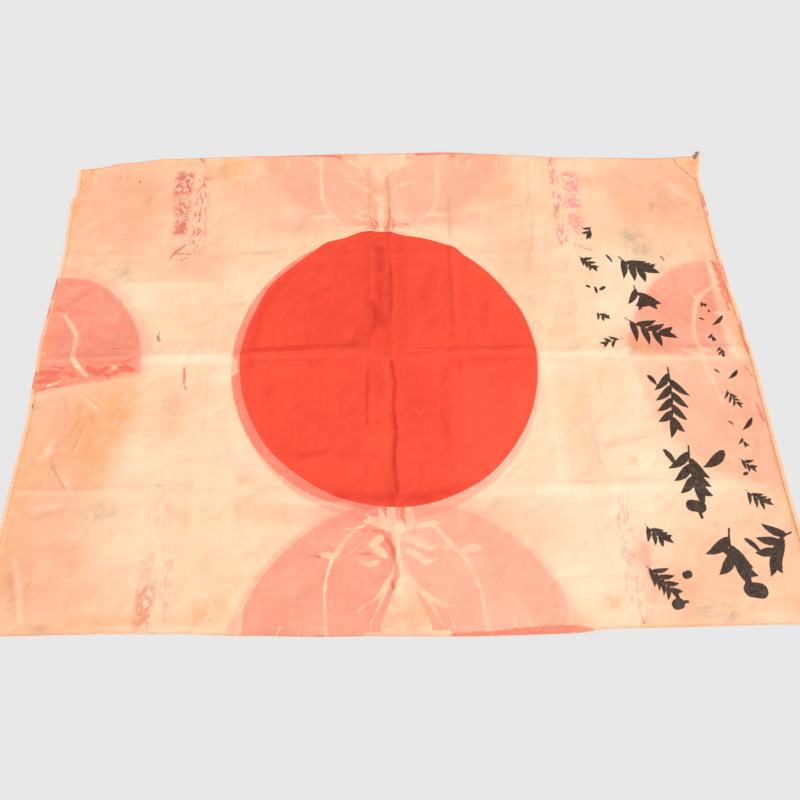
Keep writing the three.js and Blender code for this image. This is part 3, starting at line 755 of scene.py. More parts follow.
def grid_lines(stops, cell):
    """A line on each stop, and even steps no wider than a cell between them."""
    ordered = sorted(set(stops))
    lines = [ordered[0]]
    for start, stop in zip(ordered, ordered[1:]):
        steps = math.ceil((stop - start) / cell)
        lines += [start + (stop - start) * step / steps for step in range(1, steps + 1)]
    return np.array(lines)


def crease_stops(creases, half):
    stops = [at + side * reach / 2 for at, _, reach, _, _ in creases for side in (-2, -1, 0, 1, 2)]
    kept = []
    for place in sorted(place for place in stops if abs(place) < half - RIGHT_HEM - STOP_MARGIN):
        if not kept or place - kept[-1] > STOP_SPACING:
            kept.append(place)
    return kept


def divided(lines, times):
    """The lines again, with each step between two of them cut into so many."""
    shares = np.arange(times) / times
    inner = (lines[:-1, None] + (lines[1:] - lines[:-1])[:, None] * shares).ravel()
    return np.append(inner, lines[-1])


def cloth_mesh():
    """The silk as one closed thin sheet: a grid whose front cells are divided where marks and folds cross."""
    back_columns = grid_lines([-HALF_WIDTH, -HALF_WIDTH + RIM_CELL, LEFT_LINE - LEFT_STEP,
                               LEFT_LINE + LEFT_STEP, *crease_stops(UP_CREASES, HALF_WIDTH),
                               RIGHT_LINE - RIGHT_STEP, RIGHT_LINE + RIGHT_STEP, HALF_WIDTH - RIM_CELL,
                               HALF_WIDTH], BACK_CELL)
    back_rows = grid_lines([-HALF_DROP, -HALF_DROP + RIM_CELL, *crease_stops(ACROSS_CREASES, HALF_DROP),
                            HALF_DROP - RIM_CELL, HALF_DROP], BACK_CELL)
    columns, rows = divided(back_columns, 2), divided(back_rows, 2)
    middle_x, middle_y = np.meshgrid((columns[1:] + columns[:-1]) / 2, (rows[1:] + rows[:-1]) / 2,
                                     indexing="ij")
    size_x, size_y = np.meshgrid(np.diff(columns), np.diff(rows), indexing="ij")
    sizes = leaf_sizes(*wavered(middle_x, middle_y), np.hypot(size_x, size_y) / 2)
    fine_x, fine_y = divided(columns, SPLIT), divided(rows, SPLIT)
    front, front_places, faces = {}, [], []

    def front_point(i, j):
        if (i, j) not in front:
            front[i, j] = len(front_places)
            front_places.append((i, j))
        return front[i, j]

    def side_points(i, j, step_i, step_j, length, beyond):
        """The points of a face's side but its last, as fine as the face beyond it needs."""
        return [front_point(i + step_i * k, j + step_j * k) for k in range(0, length, min(length, beyond))]

    across, up = sizes.shape
    framed = np.full((across + 2, up + 2), SPLIT)
    framed[1:-1, 1:-1] = sizes
    for column in range(across):
        for row in range(up):
            size = int(sizes[column, row])
            i, j = column * SPLIT, row * SPLIT
            last_i, last_j = i + SPLIT - size, j + SPLIT - size
            below, right = int(framed[column + 1, row]), int(framed[column + 2, row + 1])
            above, left = int(framed[column + 1, row + 2]), int(framed[column, row + 1])
            for a in range(i, i + SPLIT, size):
                for b in range(j, j + SPLIT, size):
                    end_a, end_b = a + size, b + size
                    faces.append(side_points(a, b, 1, 0, size, below if b == j else size)
                                 + side_points(end_a, b, 0, 1, size, right if a == last_i else size)
                                 + side_points(end_a, end_b, -1, 0, size, above if b == last_j else size)
                                 + side_points(a, end_b, 0, -1, size, left if a == i else size))
    first_back = len(front_places)
    back_across, back_up = across // 2, up // 2

    def back_point(column, row):
        return first_back + column * (back_up + 1) + row

    for column in range(back_across):
        for row in range(back_up):
            faces.append([back_point(column, row), back_point(column, row + 1),
                          back_point(column + 1, row + 1), back_point(column + 1, row)])
    # Each wall runs along one step of the back and the two front cells beside it.
    walls = ([(column, 0, 1, 0) for column in range(back_across)]
             + [(back_across, row, 0, 1) for row in range(back_up)]
             + [(column, back_up, -1, 0) for column in range(back_across, 0, -1)]
             + [(0, row, 0, -1) for row in range(back_up, 0, -1)])
    for column, row, step_i, step_j in walls:
        upper = []
        for half in range(2):
            at_i, at_j = 2 * column + half * step_i, 2 * row + half * step_j
            cell = (min(at_i, at_i + step_i, across - 1), min(at_j, at_j + step_j, up - 1))
            upper += side_points(at_i * SPLIT, at_j * SPLIT, step_i, step_j, SPLIT, int(sizes[cell]))
        upper.append(front_point(2 * (column + step_i) * SPLIT, 2 * (row + step_j) * SPLIT))
        faces.append([back_point(column, row), back_point(column + step_i, row + step_j), *reversed(upper)])

    back_x, back_y = (grid.ravel() for grid in np.meshgrid(back_columns, back_rows, indexing="ij"))
    places = np.array(front_places)
    front_x, front_y = fine_x[places[:, 0]], fine_y[places[:, 1]]
    plain_x, plain_y = np.concatenate([front_x, back_x]), np.concatenate([front_y, back_y])
    x, y = wavered(plain_x, plain_y)
    z = np.concatenate([front_height(front_x, front_y), FLOOR_CLEARANCE + fold_rise(back_x, back_y)])
    mesh = mesh_of("silk_flag", np.stack([x, y, z], axis=1), faces)
    fields = painted_fields(x, y)
    fields["seam_gap"] = np.minimum(np.abs(plain_x - LEFT_LINE), np.abs(plain_x - RIGHT_LINE))
    fields["edge_gap"] = HALF_DROP - np.abs(plain_y)
    fields["hem_gap"] = np.minimum(plain_x - LEFT_LINE, RIGHT_LINE - plain_x)
    for name, values in fields.items():
        field = mesh.attributes.new(name, "FLOAT", "POINT")
        field.data.foreach_set("value", values.astype(np.float32))
    mesh.set_sharp_from_angle(angle=SHARP_ANGLE)
    return mesh


def front_line(places):
    """Points on the cloth's front over a list of plain places."""
    plain_x, plain_y = np.array(places, float).T
    x, y = wavered(plain_x, plain_y)
    return np.stack([x, y, front_height(plain_x, plain_y)], axis=1)


# ---- materials ----

# Patterns: (features to the metre, detail, roughness).
CLOUDS = (9, 4, 0.62)  # uneven ageing, about 110 mm across
PATCHES = (22, 5, 0.68)  # old damp, about 45 mm
TEA_MARKS = (31, 5, 0.72)  # about 30 mm
FLUSHES = (46, 5, 0.72)  # about 20 mm
BLOTCHES = (55, 4, 0.65)  # dye taken up unevenly, about 18 mm
DASH_GROUPS = (60, 2, 0.5)
STREAKS = (90, 3, 0.6)  # uneven threads, drawn far coarser than the real 0.1 mm so that they show
BREAKS = (140, 3, 0.72)  # where a rub missed the cloth, about 7 mm
DASHES = (260, 1, 0.5)
GRAIN = (260, 2, 0.6)  # slubs, about 4 mm
FLECKS = (330, 2, 0.6)  # specks of dirt, about 3 mm
RUB_GRAIN = (420, 2, 0.6)
CREEP = (420, 2, 0.5)  # how dye creeps along the threads, about 2.4 mm
FRAY = (110, 4, 0.5)  # how an edge wanders, about 9 mm
ALONG_WARP, ALONG_WEFT = (0.12, 2.2, 1.0), (2.2, 0.12, 1.0)
WIDER_THAN_TALL = (0.8, 1.3, 1.0)
A_LITTLE_TALLER = (1.0, 0.8, 1.0)
UPRIGHT = (1.0, 0.34, 1.0)

AGED_SILK, PALER_SILK, DAMP_MARK, FLUSH, TEA_MARK = "#F6D2AE", "#F8D9B7", "#F4C49B", "#F1AF92", "#F3C88C"
WASHED, PEACH, PINK, UNDYED, RUST = "#FAE2C2", "#F2AC86", "#F2A28A", "#FADAB5", "#F1A76E"
SMUDGE_GREY = "#B29A82"
LEFT_RUB, LEFT_RUB_DARK, RIGHT_RUB = "#EF6660", "#C4504E", "#E87884"
DISC_RED, DISC_DEEP_RED, DISC_LIGHT_THREAD, DISC_HIGHLIGHT_AND_RUBBED = "#F75138", "#F04631", "#FA5E42", "#FF6A50"
HEM_SILK, POOLED_RED, SEAM_BROWN, EDGE_BROWN = "#F8D3AE", "#EC6150", "#D08A58", "#DE9560"
FOLD_HIGHLIGHT_AND_RUBBED = "#FDE7C8"
THREAD_SHADE, DAMP_SHADE, FLECK_BROWN = "#C58F68", "#D79C72", "#A56A44"
FOLD_SHADE_AND_DIRT, FOLD_SHADE_AND_DIRT_ON_RED, SOIL_BROWN, INK, THIN_INK = "#C07452", "#C23A30", "#86603F", "#281D15", "#3A2B20"

# Marks' edges in millimetres: (softness each way, creep along the threads, fraying, how far it is widened).
EDGES = {
    "disc_gap": (0.55, 0.9, 0, 0), "vein_gap": (0.8, 2.6, 3.0, -0.3), "soft_vein_gap": (2.3, 3.0, 0, 0),
    "stroke_gap": (1.0, 5.0, 0, 0), "seam_gap": (1.0, 1.6, 0, 1.0), "hem_gap": (0.8, 0, 0, 0),
    "red_gap": (1.3, 4.0, 7.0, 0), "edge_gap": (1.6, 0, 6.0, 2.2), "soil_gap": (0.7, 1.2, 0, 0),
    "ink_gap": (0.45, 1.1, 0, 0),
}
SHARP_PRINT = 3  # a print with an edge less soft than this creeps, and any other frays
PRINT_LEAST, PRINT_SPREAD = 0.86, 0.28  # a print's share of its depth, and how much more it has in patches
SOFT_VEIN_SHARE = 0.86
# Stains: (field, tint, strength where the pattern under it is 0, how much more where it is 1).
STAINS_UNDER_PRINTS = [("pale", WASHED, 0.85, -0.4), ("peach", PEACH, 0.62, 0.36), ("pink", PINK, 0.40, 0.5)]
STAINS_OVER_PRINTS = [("orange", RUST, 0.255, 0.68), ("smudge", SMUDGE_GREY, -0.108, 0.9)]

MATH, MIX, NOISE, RANGE = "ShaderNodeMath", "ShaderNodeMix", "ShaderNodeTexNoise", "ShaderNodeMapRange"
TIMES = {"operation": "MULTIPLY"}
TIMES_PLUS = {"operation": "MULTIPLY_ADD"}  # a * b + c: (pattern, spread, least) is a strength that varies
COLOUR_MIX = {"data_type": "RGBA", "clamp_factor": True}
SOFT_STEP = {"interpolation_type": "SMOOTHSTEP"}
SILK_SHINE = 0.2  # the specular level of silk and thread that have lost their gloss
FACETS = 21.0  # soft facets to the metre
FACET_BEND = (0.035, 0.035, 0.0)  # how far their edges bend, in metres
FACET_SLOPE, FACET_RISE = 0.22, 0.55  # how far in from its edge a facet rises, and how much


def linear(colour):
    """An sRGB hex colour as linear red, green, blue and alpha."""
    parts = [int(colour[k:k + 2], 16) / 255 for k in (1, 3, 5)]
    return [part / 12.92 if part <= 0.04045 else ((part + 0.055) / 1.055) ** 2.4 for part in parts] + [1]


def add_node(tree, kind, settings=None, inputs=(), out=0):
    """Adds a node with its settings and links, and returns one of its outputs. Colours are given as hex."""
    made = tree.nodes.new(kind)
    for name, value in (settings or {}).items():
        setattr(made, name, value)
    for socket, value in (inputs.items() if isinstance(inputs, dict) else enumerate(inputs)):
        if isinstance(value, bpy.types.NodeSocket):
            tree.links.new(value, made.inputs[socket])
        elif value is not None:
            made.inputs[socket].default_value = linear(value) if isinstance(value, str) else value
    return made.outputs[out] if len(made.outputs) else made


def new_material(name):
    """An empty material, and what adds a node to it."""
    material = bpy.data.materials.new(name)
    material.use_nodes = True
    material.node_tree.nodes.clear()
    return material, functools.partial(add_node, material.node_tree)


def dyed_silk(names):
    """Plain-woven habutae silk, dyed, stained and inked: a soft low sheen over a close flat weave."""
    material, add = new_material("habutae_silk_dyed_and_stained")
    place = add("ShaderNodeTexCoord", out="Object")
    fields = {name: add("ShaderNodeAttribute", {"attribute_name": name}, out="Fac") for name in names}

    def pattern(size, low=0.3, high=0.7, stretch=None, bend=0.0):
        """A cloudy pattern from 0 to 1, stretched along an axis or bent."""
        scale, detail, rough = size
        vector = place if stretch is None else add("ShaderNodeMapping", inputs={0: place, 3: stretch})
        raw = add(NOISE, inputs={"Vector": vector, "Scale": scale, "Detail": detail, "Roughness": rough,
                                 "Distortion": bend})
        return add(RANGE, inputs=(raw, low, high, 0.0, 1.0))

    def wander(size):
        """A pattern round 0, by which marks' edges wander."""
        scale, detail, rough = size
        raw = add(NOISE, inputs={"Vector": place, "Scale": scale, "Detail": detail, "Roughness": rough})
        return add(MATH, {"operation": "SUBTRACT"}, (raw, 0.5))

    creeping, fraying = wander(CREEP), wander(FRAY)

    def marked(name, soft, creep, fray, widened=0.0):
        """1 inside a mark and 0 outside it, with its edge crept along the threads, frayed and softened."""
        gap = fields[name]
        if widened:
            gap = add(MATH, {"operation": "SUBTRACT"}, (gap, widened))
        for wandering, reach in ((creeping, creep), (fraying, fray)):
            if reach:
                gap = add(MATH, TIMES_PLUS, (wandering, reach, gap))
        return add(RANGE, SOFT_STEP, (gap, soft, -soft, 0.0, 1.0))

    def tinted(below, tint, where, strength, blend="MIX"):
        """The colour below with a tint over it, as strong as its place and its strength say."""
        share = add(MATH, TIMES, (where, strength))
        return add(MIX, {**COLOUR_MIX, "blend_type": blend}, {0: share, 6: below, 7: tint}, 2)

    cloudy, blotchy, grainy = pattern(CLOUDS), pattern(BLOTCHES), pattern(GRAIN)
    patchy = pattern(PATCHES, bend=0.6)
    warp_streaks, weft_streaks = pattern(STREAKS, stretch=ALONG_WARP), pattern(STREAKS, stretch=ALONG_WEFT)
    marks = {name: marked(name, *edge) for name, edge in EDGES.items()}

    colour = add(MIX, COLOUR_MIX, {0: cloudy, 6: AGED_SILK, 7: PALER_SILK}, 2)
    colour = tinted(colour, DAMP_MARK, patchy, 0.42)
    colour = tinted(colour, FLUSH, pattern(FLUSHES, 0.46, 0.70), 0.20)
    colour = tinted(colour, TEA_MARK, pattern(TEA_MARKS, 0.50, 0.74, WIDER_THAN_TALL), 0.22)
    for name, tint, least, spread in STAINS_UNDER_PRINTS:
        colour = tinted(colour, tint, fields[name], add(MATH, TIMES_PLUS, (patchy, spread, least)))

    for number, (_, _, _, tint, depth, soft, ragged, _) in enumerate(PRINTS):
        creep, fray = (ragged, 0) if soft < SHARP_PRINT else (0, ragged)
        pressed = marked(f"print_{number}", soft, creep, fray)
        strength = add(MATH, TIMES_PLUS, (patchy, depth * PRINT_SPREAD, depth * PRINT_LEAST))
        colour = tinted(colour, tint, pressed, strength)
    soft_vein = add(MATH, TIMES, (marks["soft_vein_gap"], SOFT_VEIN_SHARE))
    bare = add(MATH, {"operation": "MAXIMUM"}, (marks["vein_gap"], soft_vein))
    colour = tinted(colour, UNDYED, bare, add(MATH, TIMES_PLUS, (patchy, 0.86, 0.14)))
    for name, tint, least, spread in STAINS_OVER_PRINTS:
        colour = tinted(colour, tint, fields[name], add(MATH, TIMES_PLUS, (blotchy, spread, least)))

    # The rubs are a redder pink on the flag's left half than on its right.
    across = add("ShaderNodeSeparateXYZ", inputs=(place,))
    right_half = add(MATH, {"operation": "GREATER_THAN"}, (across, 0.0))
    rose = add(MIX, COLOUR_MIX, {0: pattern(RUB_GRAIN), 6: LEFT_RUB, 7: LEFT_RUB_DARK}, 2)
    rose = add(MIX, COLOUR_MIX, {0: right_half, 6: rose, 7: RIGHT_RUB}, 2)
    broken = add(MATH, TIMES, (fields["rub"], pattern(BREAKS, 0.44, 0.49, A_LITTLE_TALLER)))
    colour = tinted(colour, rose, broken, 0.8)
    dashes = add(MATH, TIMES, (pattern(DASHES, 0.52, 0.56, UPRIGHT), pattern(DASH_GROUPS, 0.36, 0.46)))
    colour = tinted(colour, rose, add(MATH, TIMES, (fields["dashed_rub"], dashes)), 0.72)
    colour = tinted(colour, rose, marks["stroke_gap"], 0.7)

    colour = tinted(colour, HEM_SILK, marks["hem_gap"], add(MATH, TIMES_PLUS, (blotchy, -0.1, 0.55)))
    colour = tinted(colour, POOLED_RED, marks["red_gap"], add(MATH, TIMES_PLUS, (blotchy, 0.4, 0.45)))
    colour = tinted(colour, SEAM_BROWN, marks["seam_gap"], 0.45)
    colour = tinted(colour, EDGE_BROWN, marks["edge_gap"], 0.40)
    # Painted light: the folds' lit sides are made paler, together with silk rubbed pale there, on the disc
    # too.
    tone = fields["fold_tone"]
    lit_and_rubbed = add(MATH, {"operation": "MULTIPLY", "use_clamp": True}, (tone, -0.95))
    colour = add(MIX, COLOUR_MIX, {0: lit_and_rubbed, 6: colour, 7: FOLD_HIGHLIGHT_AND_RUBBED}, 2)

    disc = marks["disc_gap"]
    red = add(MIX, COLOUR_MIX, {0: cloudy, 6: DISC_RED, 7: DISC_DEEP_RED}, 2)
    red = tinted(red, DISC_LIGHT_THREAD, weft_streaks, 0.3)
    colour = add(MIX, COLOUR_MIX, {0: disc, 6: colour, 7: red}, 2)
    colour = tinted(colour, DISC_HIGHLIGHT_AND_RUBBED, add(MATH, TIMES, (lit_and_rubbed, disc)), 0.5)

    threads = add(MATH, TIMES_PLUS, (warp_streaks, 0.5, add(MATH, TIMES, (weft_streaks, 0.5))))
    flecks = pattern(FLECKS, 0.66, 0.74)
    for shade, where, strength in ((THREAD_SHADE, threads, 0.09), (DAMP_SHADE, patchy, 0.06),
                                   (FLECK_BROWN, flecks, 0.22)):
        colour = tinted(colour, shade, where, strength, "MULTIPLY")
    # Painted shade along the folds, together with dirt and dye: browner on the silk and deeper red on the
    # disc.
    shade_and_dirt = add(MIX, COLOUR_MIX, {0: disc, 6: FOLD_SHADE_AND_DIRT, 7: FOLD_SHADE_AND_DIRT_ON_RED}, 2)
    shaded_and_dirty = add(MATH, TIMES, (tone, add(MATH, TIMES_PLUS, (blotchy, 0.5, 0.7))))
    colour = tinted(colour, shade_and_dirt, shaded_and_dirty, add(MATH, TIMES_PLUS, (disc, 0.5, 0.4)), "MULTIPLY")
    colour = tinted(colour, SOIL_BROWN, marks["soil_gap"], 0.66)
    ink = add(MIX, COLOUR_MIX, {0: blotchy, 6: INK, 7: THIN_INK}, 2)
    colour = tinted(colour, ink, marks["ink_gap"], add(MATH, TIMES_PLUS, (grainy, 0.07, 0.93)))

    # Soft facets about 50 mm across, as thin silk keeps after long folding, with the threads' grain on them.
    bends = add(NOISE, inputs={"Vector": place, "Scale": 14.0, "Detail": 2.0}, out="Color")
    bent = add("ShaderNodeVectorMath", {"operation": "MULTIPLY_ADD"}, (bends, FACET_BEND, place))
    facets = add("ShaderNodeTexVoronoi", {"feature": "DISTANCE_TO_EDGE"}, {"Vector": bent, "Scale": FACETS})
    height = add(RANGE, SOFT_STEP, (facets, 0.0, FACET_SLOPE, 0.0, FACET_RISE))
    for relief, share in ((cloudy, 0.8), (patchy, 0.34), (blotchy, 0.10), (threads, 0.10), (grainy, 0.03)):
        height = add(MATH, TIMES_PLUS, (relief, share, height))
    bump = add("ShaderNodeBump", inputs={"Strength": 0.8, "Distance": 0.0014, "Height": height}, out="Normal")
    surface = add("ShaderNodeBsdfPrincipled", inputs={
        "Base Color": colour, "Roughness": add(MATH, TIMES_PLUS, (grainy, 0.12, 0.52)), "Normal": bump,
        "Specular IOR Level": SILK_SHINE, "Sheen Weight": 0.06, "Sheen Roughness": 0.4})
    add("ShaderNodeOutputMaterial", inputs=(surface,))
    return material


def plain_silk():
    """The patch's silk, undyed but yellowed and stained as the flag is, with a paler turned edge."""
    material, add = new_material("habutae_silk_patch_yellowed")
    place = add("ShaderNodeTexCoord", out="Object")
    rim = add("ShaderNodeAttribute", {"attribute_name": "rim"}, out="Fac")
    stains = add(NOISE, inputs={"Vector": place, "Scale": 70.0, "Detail": 3.0})
    stains = add(RANGE, inputs=(stains, 0.35, 0.62, 0.0, 1.0))
    weave = add(NOISE, inputs={"Vector": place, "Scale": 700.0, "Detail": 2.0})
    colour = add(MIX, COLOUR_MIX, {0: stains, 6: "#F4C096", 7: "#EFA877"}, 2)
    # The turned edge is made paler.
    edge = add(MATH, TIMES, (rim, 0.5))
    colour = add(MIX, COLOUR_MIX, {0: edge, 6: colour, 7: "#F7D0A8"}, 2)
    bump = add("ShaderNodeBump", inputs={"Strength": 0.5, "Distance": 0.0004, "Height": weave}, out="Normal")
    surface = add("ShaderNodeBsdfPrincipled", inputs={
        "Base Color": colour, "Roughness": 0.58, "Normal": bump, "Specular IOR Level": SILK_SHINE})
    add("ShaderNodeOutputMaterial", inputs=(surface,))
    return material


WAVE_TURN = 20  # a wave's bands are this many radians to a unit of its scale


def twisted_fibre(name, light, dark, strand):
    """Spun fibre with no gloss: fine ridges that run round it, with painted light on their tops and painted
    shade in the grooves.
    """
    material, add = new_material(name)
    place = add("ShaderNodeTexCoord", out="Object")
    ridges = add("ShaderNodeTexWave", {"bands_direction": "DIAGONAL"}, {
        "Vector": place, "Scale": 1 / (strand * MM) / WAVE_TURN, "Distortion": 2.0, "Detail": 2.0}, "Fac")
    # Painted light on the ridges' tops and painted shade in the grooves between them.
    colour = add(MIX, COLOUR_MIX, {0: ridges, 6: dark, 7: light}, 2)
    bump = add("ShaderNodeBump", inputs={"Strength": 0.6, "Distance": 0.0002, "Height": ridges}, out="Normal")
    surface = add("ShaderNodeBsdfPrincipled", inputs={
        "Base Color": colour, "Roughness": 0.85, "Normal": bump, "Specular IOR Level": SILK_SHINE})
    add("ShaderNodeOutputMaterial", inputs=(surface,))
    return material


# ---- the patch, the tie and the stitches ----

PATCH_OUTLINE = [
    (459, 347), (460.5, 340), (464, 333), (470, 324), (477, 315), (484, 306), (491, 298), (493.5, 317),
    (498, 335), FLAG_CORNER, (482, 348),
]
PATCH_FREE_EDGE = 7  # how many of the outline's points, from its first, lie on the sewn edge
PATCH_LOW = 1.1  # the height of its underside over the hem
PATCH_DROP = 0.46  # and how much lower it lies on the single cloth
PATCH_STEP = (481, 492)  # where across it steps down from one to the other
PATCH_PUCKER = 0.08  # how uneven its front is
# The patch's rings from its underside to its middle: (share of its outline, height over its underside, rim).
PATCH_RINGS = [
    (0.97, 0, 1), (1.0, 0.25, 1), (0.985, 0.6, 1), (0.93, 0.72, 1), (0.88, 0.62, 0.8), (0.84, 0.5, 0.2),
    (0.55, 0.56, 0), (0.25, 0.5, 0),
]
FRONT_LOW = 0.25  # the rings over this height are its front
SEWN_RING = 3
STITCH_LIFT = 0.1
TIE_LINE = [(494, 343.5), (496, 347), (498, 350.5), (500, 354), (502, 357.5)]
TIE_LOW = 1.7
TIE_RADIUS = 1.95
TIE_HEIGHTS = [TIE_LOW + TIE_RADIUS, TIE_LOW + TIE_RADIUS, 3.3, 2.4, 1.9]  # of its middle, as it droops
TIE_START = 0.35  # its thickness where it comes out from under the patch, as a share of its full thickness
TIE_SWELL = 6  # how fast it swells from there
TIE_THINNING = 0.35  # how much thinner its torn end is
PLY_DEPTH = 0.2  # how deep the groove between its two plies is
PLY_MIDDLE = 0.85
TIE_SIDES = 20
TIE_STEPS = 26
TIE_TURNS = 2.2  # how often the cord's two plies go round each other over the stump
FIBRES = 26
FIBRE_LENGTH = 3.0
FIBRE_SHORTEST = 0.6  # the shortest fibre's length as a share of the longest's
FIBRE_TURN = 2.4  # radians from one to the next, near the golden angle, so that they spread evenly
FIBRE_SPREAD = (0.35, 0.9)  # how far out the first one points, and how much further the last
FIBRE_SINK = 0.4  # how deep in the cord's end they start
FIBRE_ROOT_LOW = 0.5
FIBRE_LOW, FIBRE_HIGH = 0.3, 3.2
FIBRE_HALF, FIBRE_RISE = 0.26, 0.2
UPWARDS = Vector((0, 0, 1))
# Stitches: (spacing, length, radius).
HEM_STITCH = (4.6, 3.0, 0.26)
PATCH_STITCH = (2.6, 2.2, 0.24)
STITCHES_KEPT = 0.72  # the share that hasn't worn away
SEAM_POINTS = 240
SEAM_END = 4  # how far from the cloth's corners a hem's stitches stop


def face_outwards(mesh):
    """Turns the faces of every closed shell in a mesh outwards."""
    form = bmesh.new()
    form.from_mesh(mesh)
    bmesh.ops.recalc_face_normals(form, faces=form.faces)
    form.to_mesh(mesh)
    form.free()
    return mesh


def patch_low(x):
    """The height of the patch's underside, which steps down from the hem to the single cloth."""
    return PATCH_LOW - PATCH_DROP * (1 - float(eased(x, *PATCH_STEP)))


def patch_mesh():
    """The patch as a thin closed sheet whose edge is turned under, so that it stands a little proud."""
    outline = np.array(PATCH_OUTLINE, float)
    middle = outline.mean(axis=0)
    count = len(outline)
    points, rims, faces = [], [], []
    for share, height, rim in PATCH_RINGS:
        for x, y in middle + (outline - middle) * share:
            uneven = PATCH_PUCKER * math.sin(x * 0.9) * math.sin(y * 0.7) if height > FRONT_LOW else 0
            points.append((x, y, patch_low(x) + height + uneven))
            rims.append(rim)
    for ring in range(len(PATCH_RINGS) - 1):
        for k in range(count):
            a, b = ring * count + k, ring * count + (k + 1) % count
            faces.append((b, a, a + count, b + count))
    top, bottom = len(points), len(points) + 1
    low = patch_low(middle[0])
    points += [(*middle, low + PATCH_RINGS[-1][1]), (*middle, low)]
    rims += [0, 1]
    last = (len(PATCH_RINGS) - 1) * count
    for k in range(count):
        following = (k + 1) % count
        faces.append((last + following, last + k, top))
        faces.append((k, following, bottom))
    mesh = face_outwards(mesh_of("corner_patch_silk", points, faces))
    mesh.attributes.new("rim", "FLOAT", "POINT").data.foreach_set("value", np.array(rims, np.float32))
    return mesh


def patch_seam():
    """The line on which the patch is sewn down, a little inside its free edge."""
    outline = np.array(PATCH_OUTLINE, float)
    middle = outline.mean(axis=0)
    share, height, _ = PATCH_RINGS[SEWN_RING]
    points = middle + (outline[:PATCH_FREE_EDGE] - middle) * share
    return [(x, y, patch_low(x) + height + STITCH_LIFT) for x, y in points]


def tie_mesh():
    """The torn stump of a two-ply cord, with frayed fibres at its outer end."""
    line, heading = eased_line([(x, y, z) for (x, y), z in zip(TIE_LINE, TIE_HEIGHTS)], TIE_STEPS)
    points, faces = [], []
    for step, (place, way) in enumerate(zip(line, heading)):
        share = step / TIE_STEPS
        forward = Vector(way).normalized()
        side = forward.cross(UPWARDS).normalized()
        rise = side.cross(forward)
        taper = min(1, TIE_START + share * TIE_SWELL) * (1 - TIE_THINNING * share ** 3)
        for k in range(TIE_SIDES):
            angle = 2 * math.pi * k / TIE_SIDES
            ply = 1 + PLY_DEPTH * math.cos(2 * angle - 4 * math.pi * TIE_TURNS * share)
            reach = TIE_RADIUS * taper * ply * PLY_MIDDLE
            points.append(Vector(place) + side * (reach * math.cos(angle)) + rise * (reach * math.sin(angle)))
    for step in range(TIE_STEPS):
        for k in range(TIE_SIDES):
            a, b = step * TIE_SIDES + k, step * TIE_SIDES + (k + 1) % TIE_SIDES
            faces.append((a, b, b + TIE_SIDES, a + TIE_SIDES))
    faces.append(tuple(reversed(range(TIE_SIDES))))
    faces.append(tuple(range(TIE_STEPS * TIE_SIDES, (TIE_STEPS + 1) * TIE_SIDES)))
    tip, forward = Vector(line[-1]), Vector(heading[-1]).normalized()
    side = forward.cross(UPWARDS).normalized()
    for number in range(FIBRES):
        spin = FIBRE_TURN * number
        spread = FIBRE_SPREAD[0] + FIBRE_SPREAD[1] * (number / FIBRES)
        out = (side * math.cos(spin) + UPWARDS * math.sin(spin)) * spread
        root = tip - forward * FIBRE_SINK + out * TIE_RADIUS
        root.z = max(root.z, FIBRE_ROOT_LOW)
        share = FIBRE_SHORTEST + (1 - FIBRE_SHORTEST) * math.cos(number * 1.7) ** 2
        end = root + (forward + out) * FIBRE_LENGTH * share
        end.z = min(max(end.z, FIBRE_LOW), FIBRE_HIGH)
        first = len(points)
        across = (end - root).cross(UPWARDS).normalized() * FIBRE_HALF
        points += [root + across, root - across, root + UPWARDS * FIBRE_RISE, end]
        faces += [(first, first + 3, first + 1), (first + 1, first + 3, first + 2),
                  (first + 2, first + 3, first), (first, first + 1, first + 2)]
    return face_outwards(mesh_of("tie_stump", points, faces))


def stitch_tree(material):
    """Geometry nodes that lay stitches end to end along a line, each a small plump thread."""
    tree = bpy.data.node_groups.new("running_stitches", "GeometryNodeTree")
    tree.interface.new_socket("Line", in_out="INPUT", socket_type="NodeSocketGeometry")
    for name in ("Spacing", "Length", "Radius"):
        tree.interface.new_socket(name, in_out="INPUT", socket_type="NodeSocketFloat")
    tree.interface.new_socket("Stitches", in_out="OUTPUT", socket_type="NodeSocketGeometry")
    given = tree.nodes.new("NodeGroupInput").outputs
    add = functools.partial(add_node, tree)
    curve = add("GeometryNodeMeshToCurve", inputs=(given["Line"],))
    spaced = add("GeometryNodeResampleCurve", {"mode": "LENGTH"}, {
        "Curve": curve, "Length": given["Spacing"]})
    stitch = add("GeometryNodeMeshUVSphere", inputs={"Segments": 6, "Rings": 4, "Radius": 1.0})
    half = add(MATH, TIMES, (given["Length"], 0.5))
    size = add("ShaderNodeCombineXYZ", inputs=(given["Radius"], given["Radius"], half))
    uneven = add("FunctionNodeRandomValue", {"data_type": "FLOAT"}, {"Min": 0.6, "Max": 1.1, "Seed": 5}, 1)
    kept = add("FunctionNodeRandomValue", {"data_type": "BOOLEAN"}, {
        "Probability": STITCHES_KEPT, "Seed": 8}, 3)
    size = add("ShaderNodeVectorMath", {"operation": "SCALE"}, {"Vector": size, "Scale": uneven})
    turned = add("FunctionNodeAlignRotationToVector", {"axis": "Z"}, {
        "Vector": add("GeometryNodeInputTangent")})
    placed = add("GeometryNodeInstanceOnPoints", inputs={
        "Points": spaced, "Selection": kept, "Instance": stitch, "Rotation": turned, "Scale": size})
    whole = add("GeometryNodeRealizeInstances", inputs=(placed,))
    finished = add("GeometryNodeSetMaterial", inputs={"Geometry": whole, "Material": material})
    add("NodeGroupOutput", inputs=(finished,))
    return tree


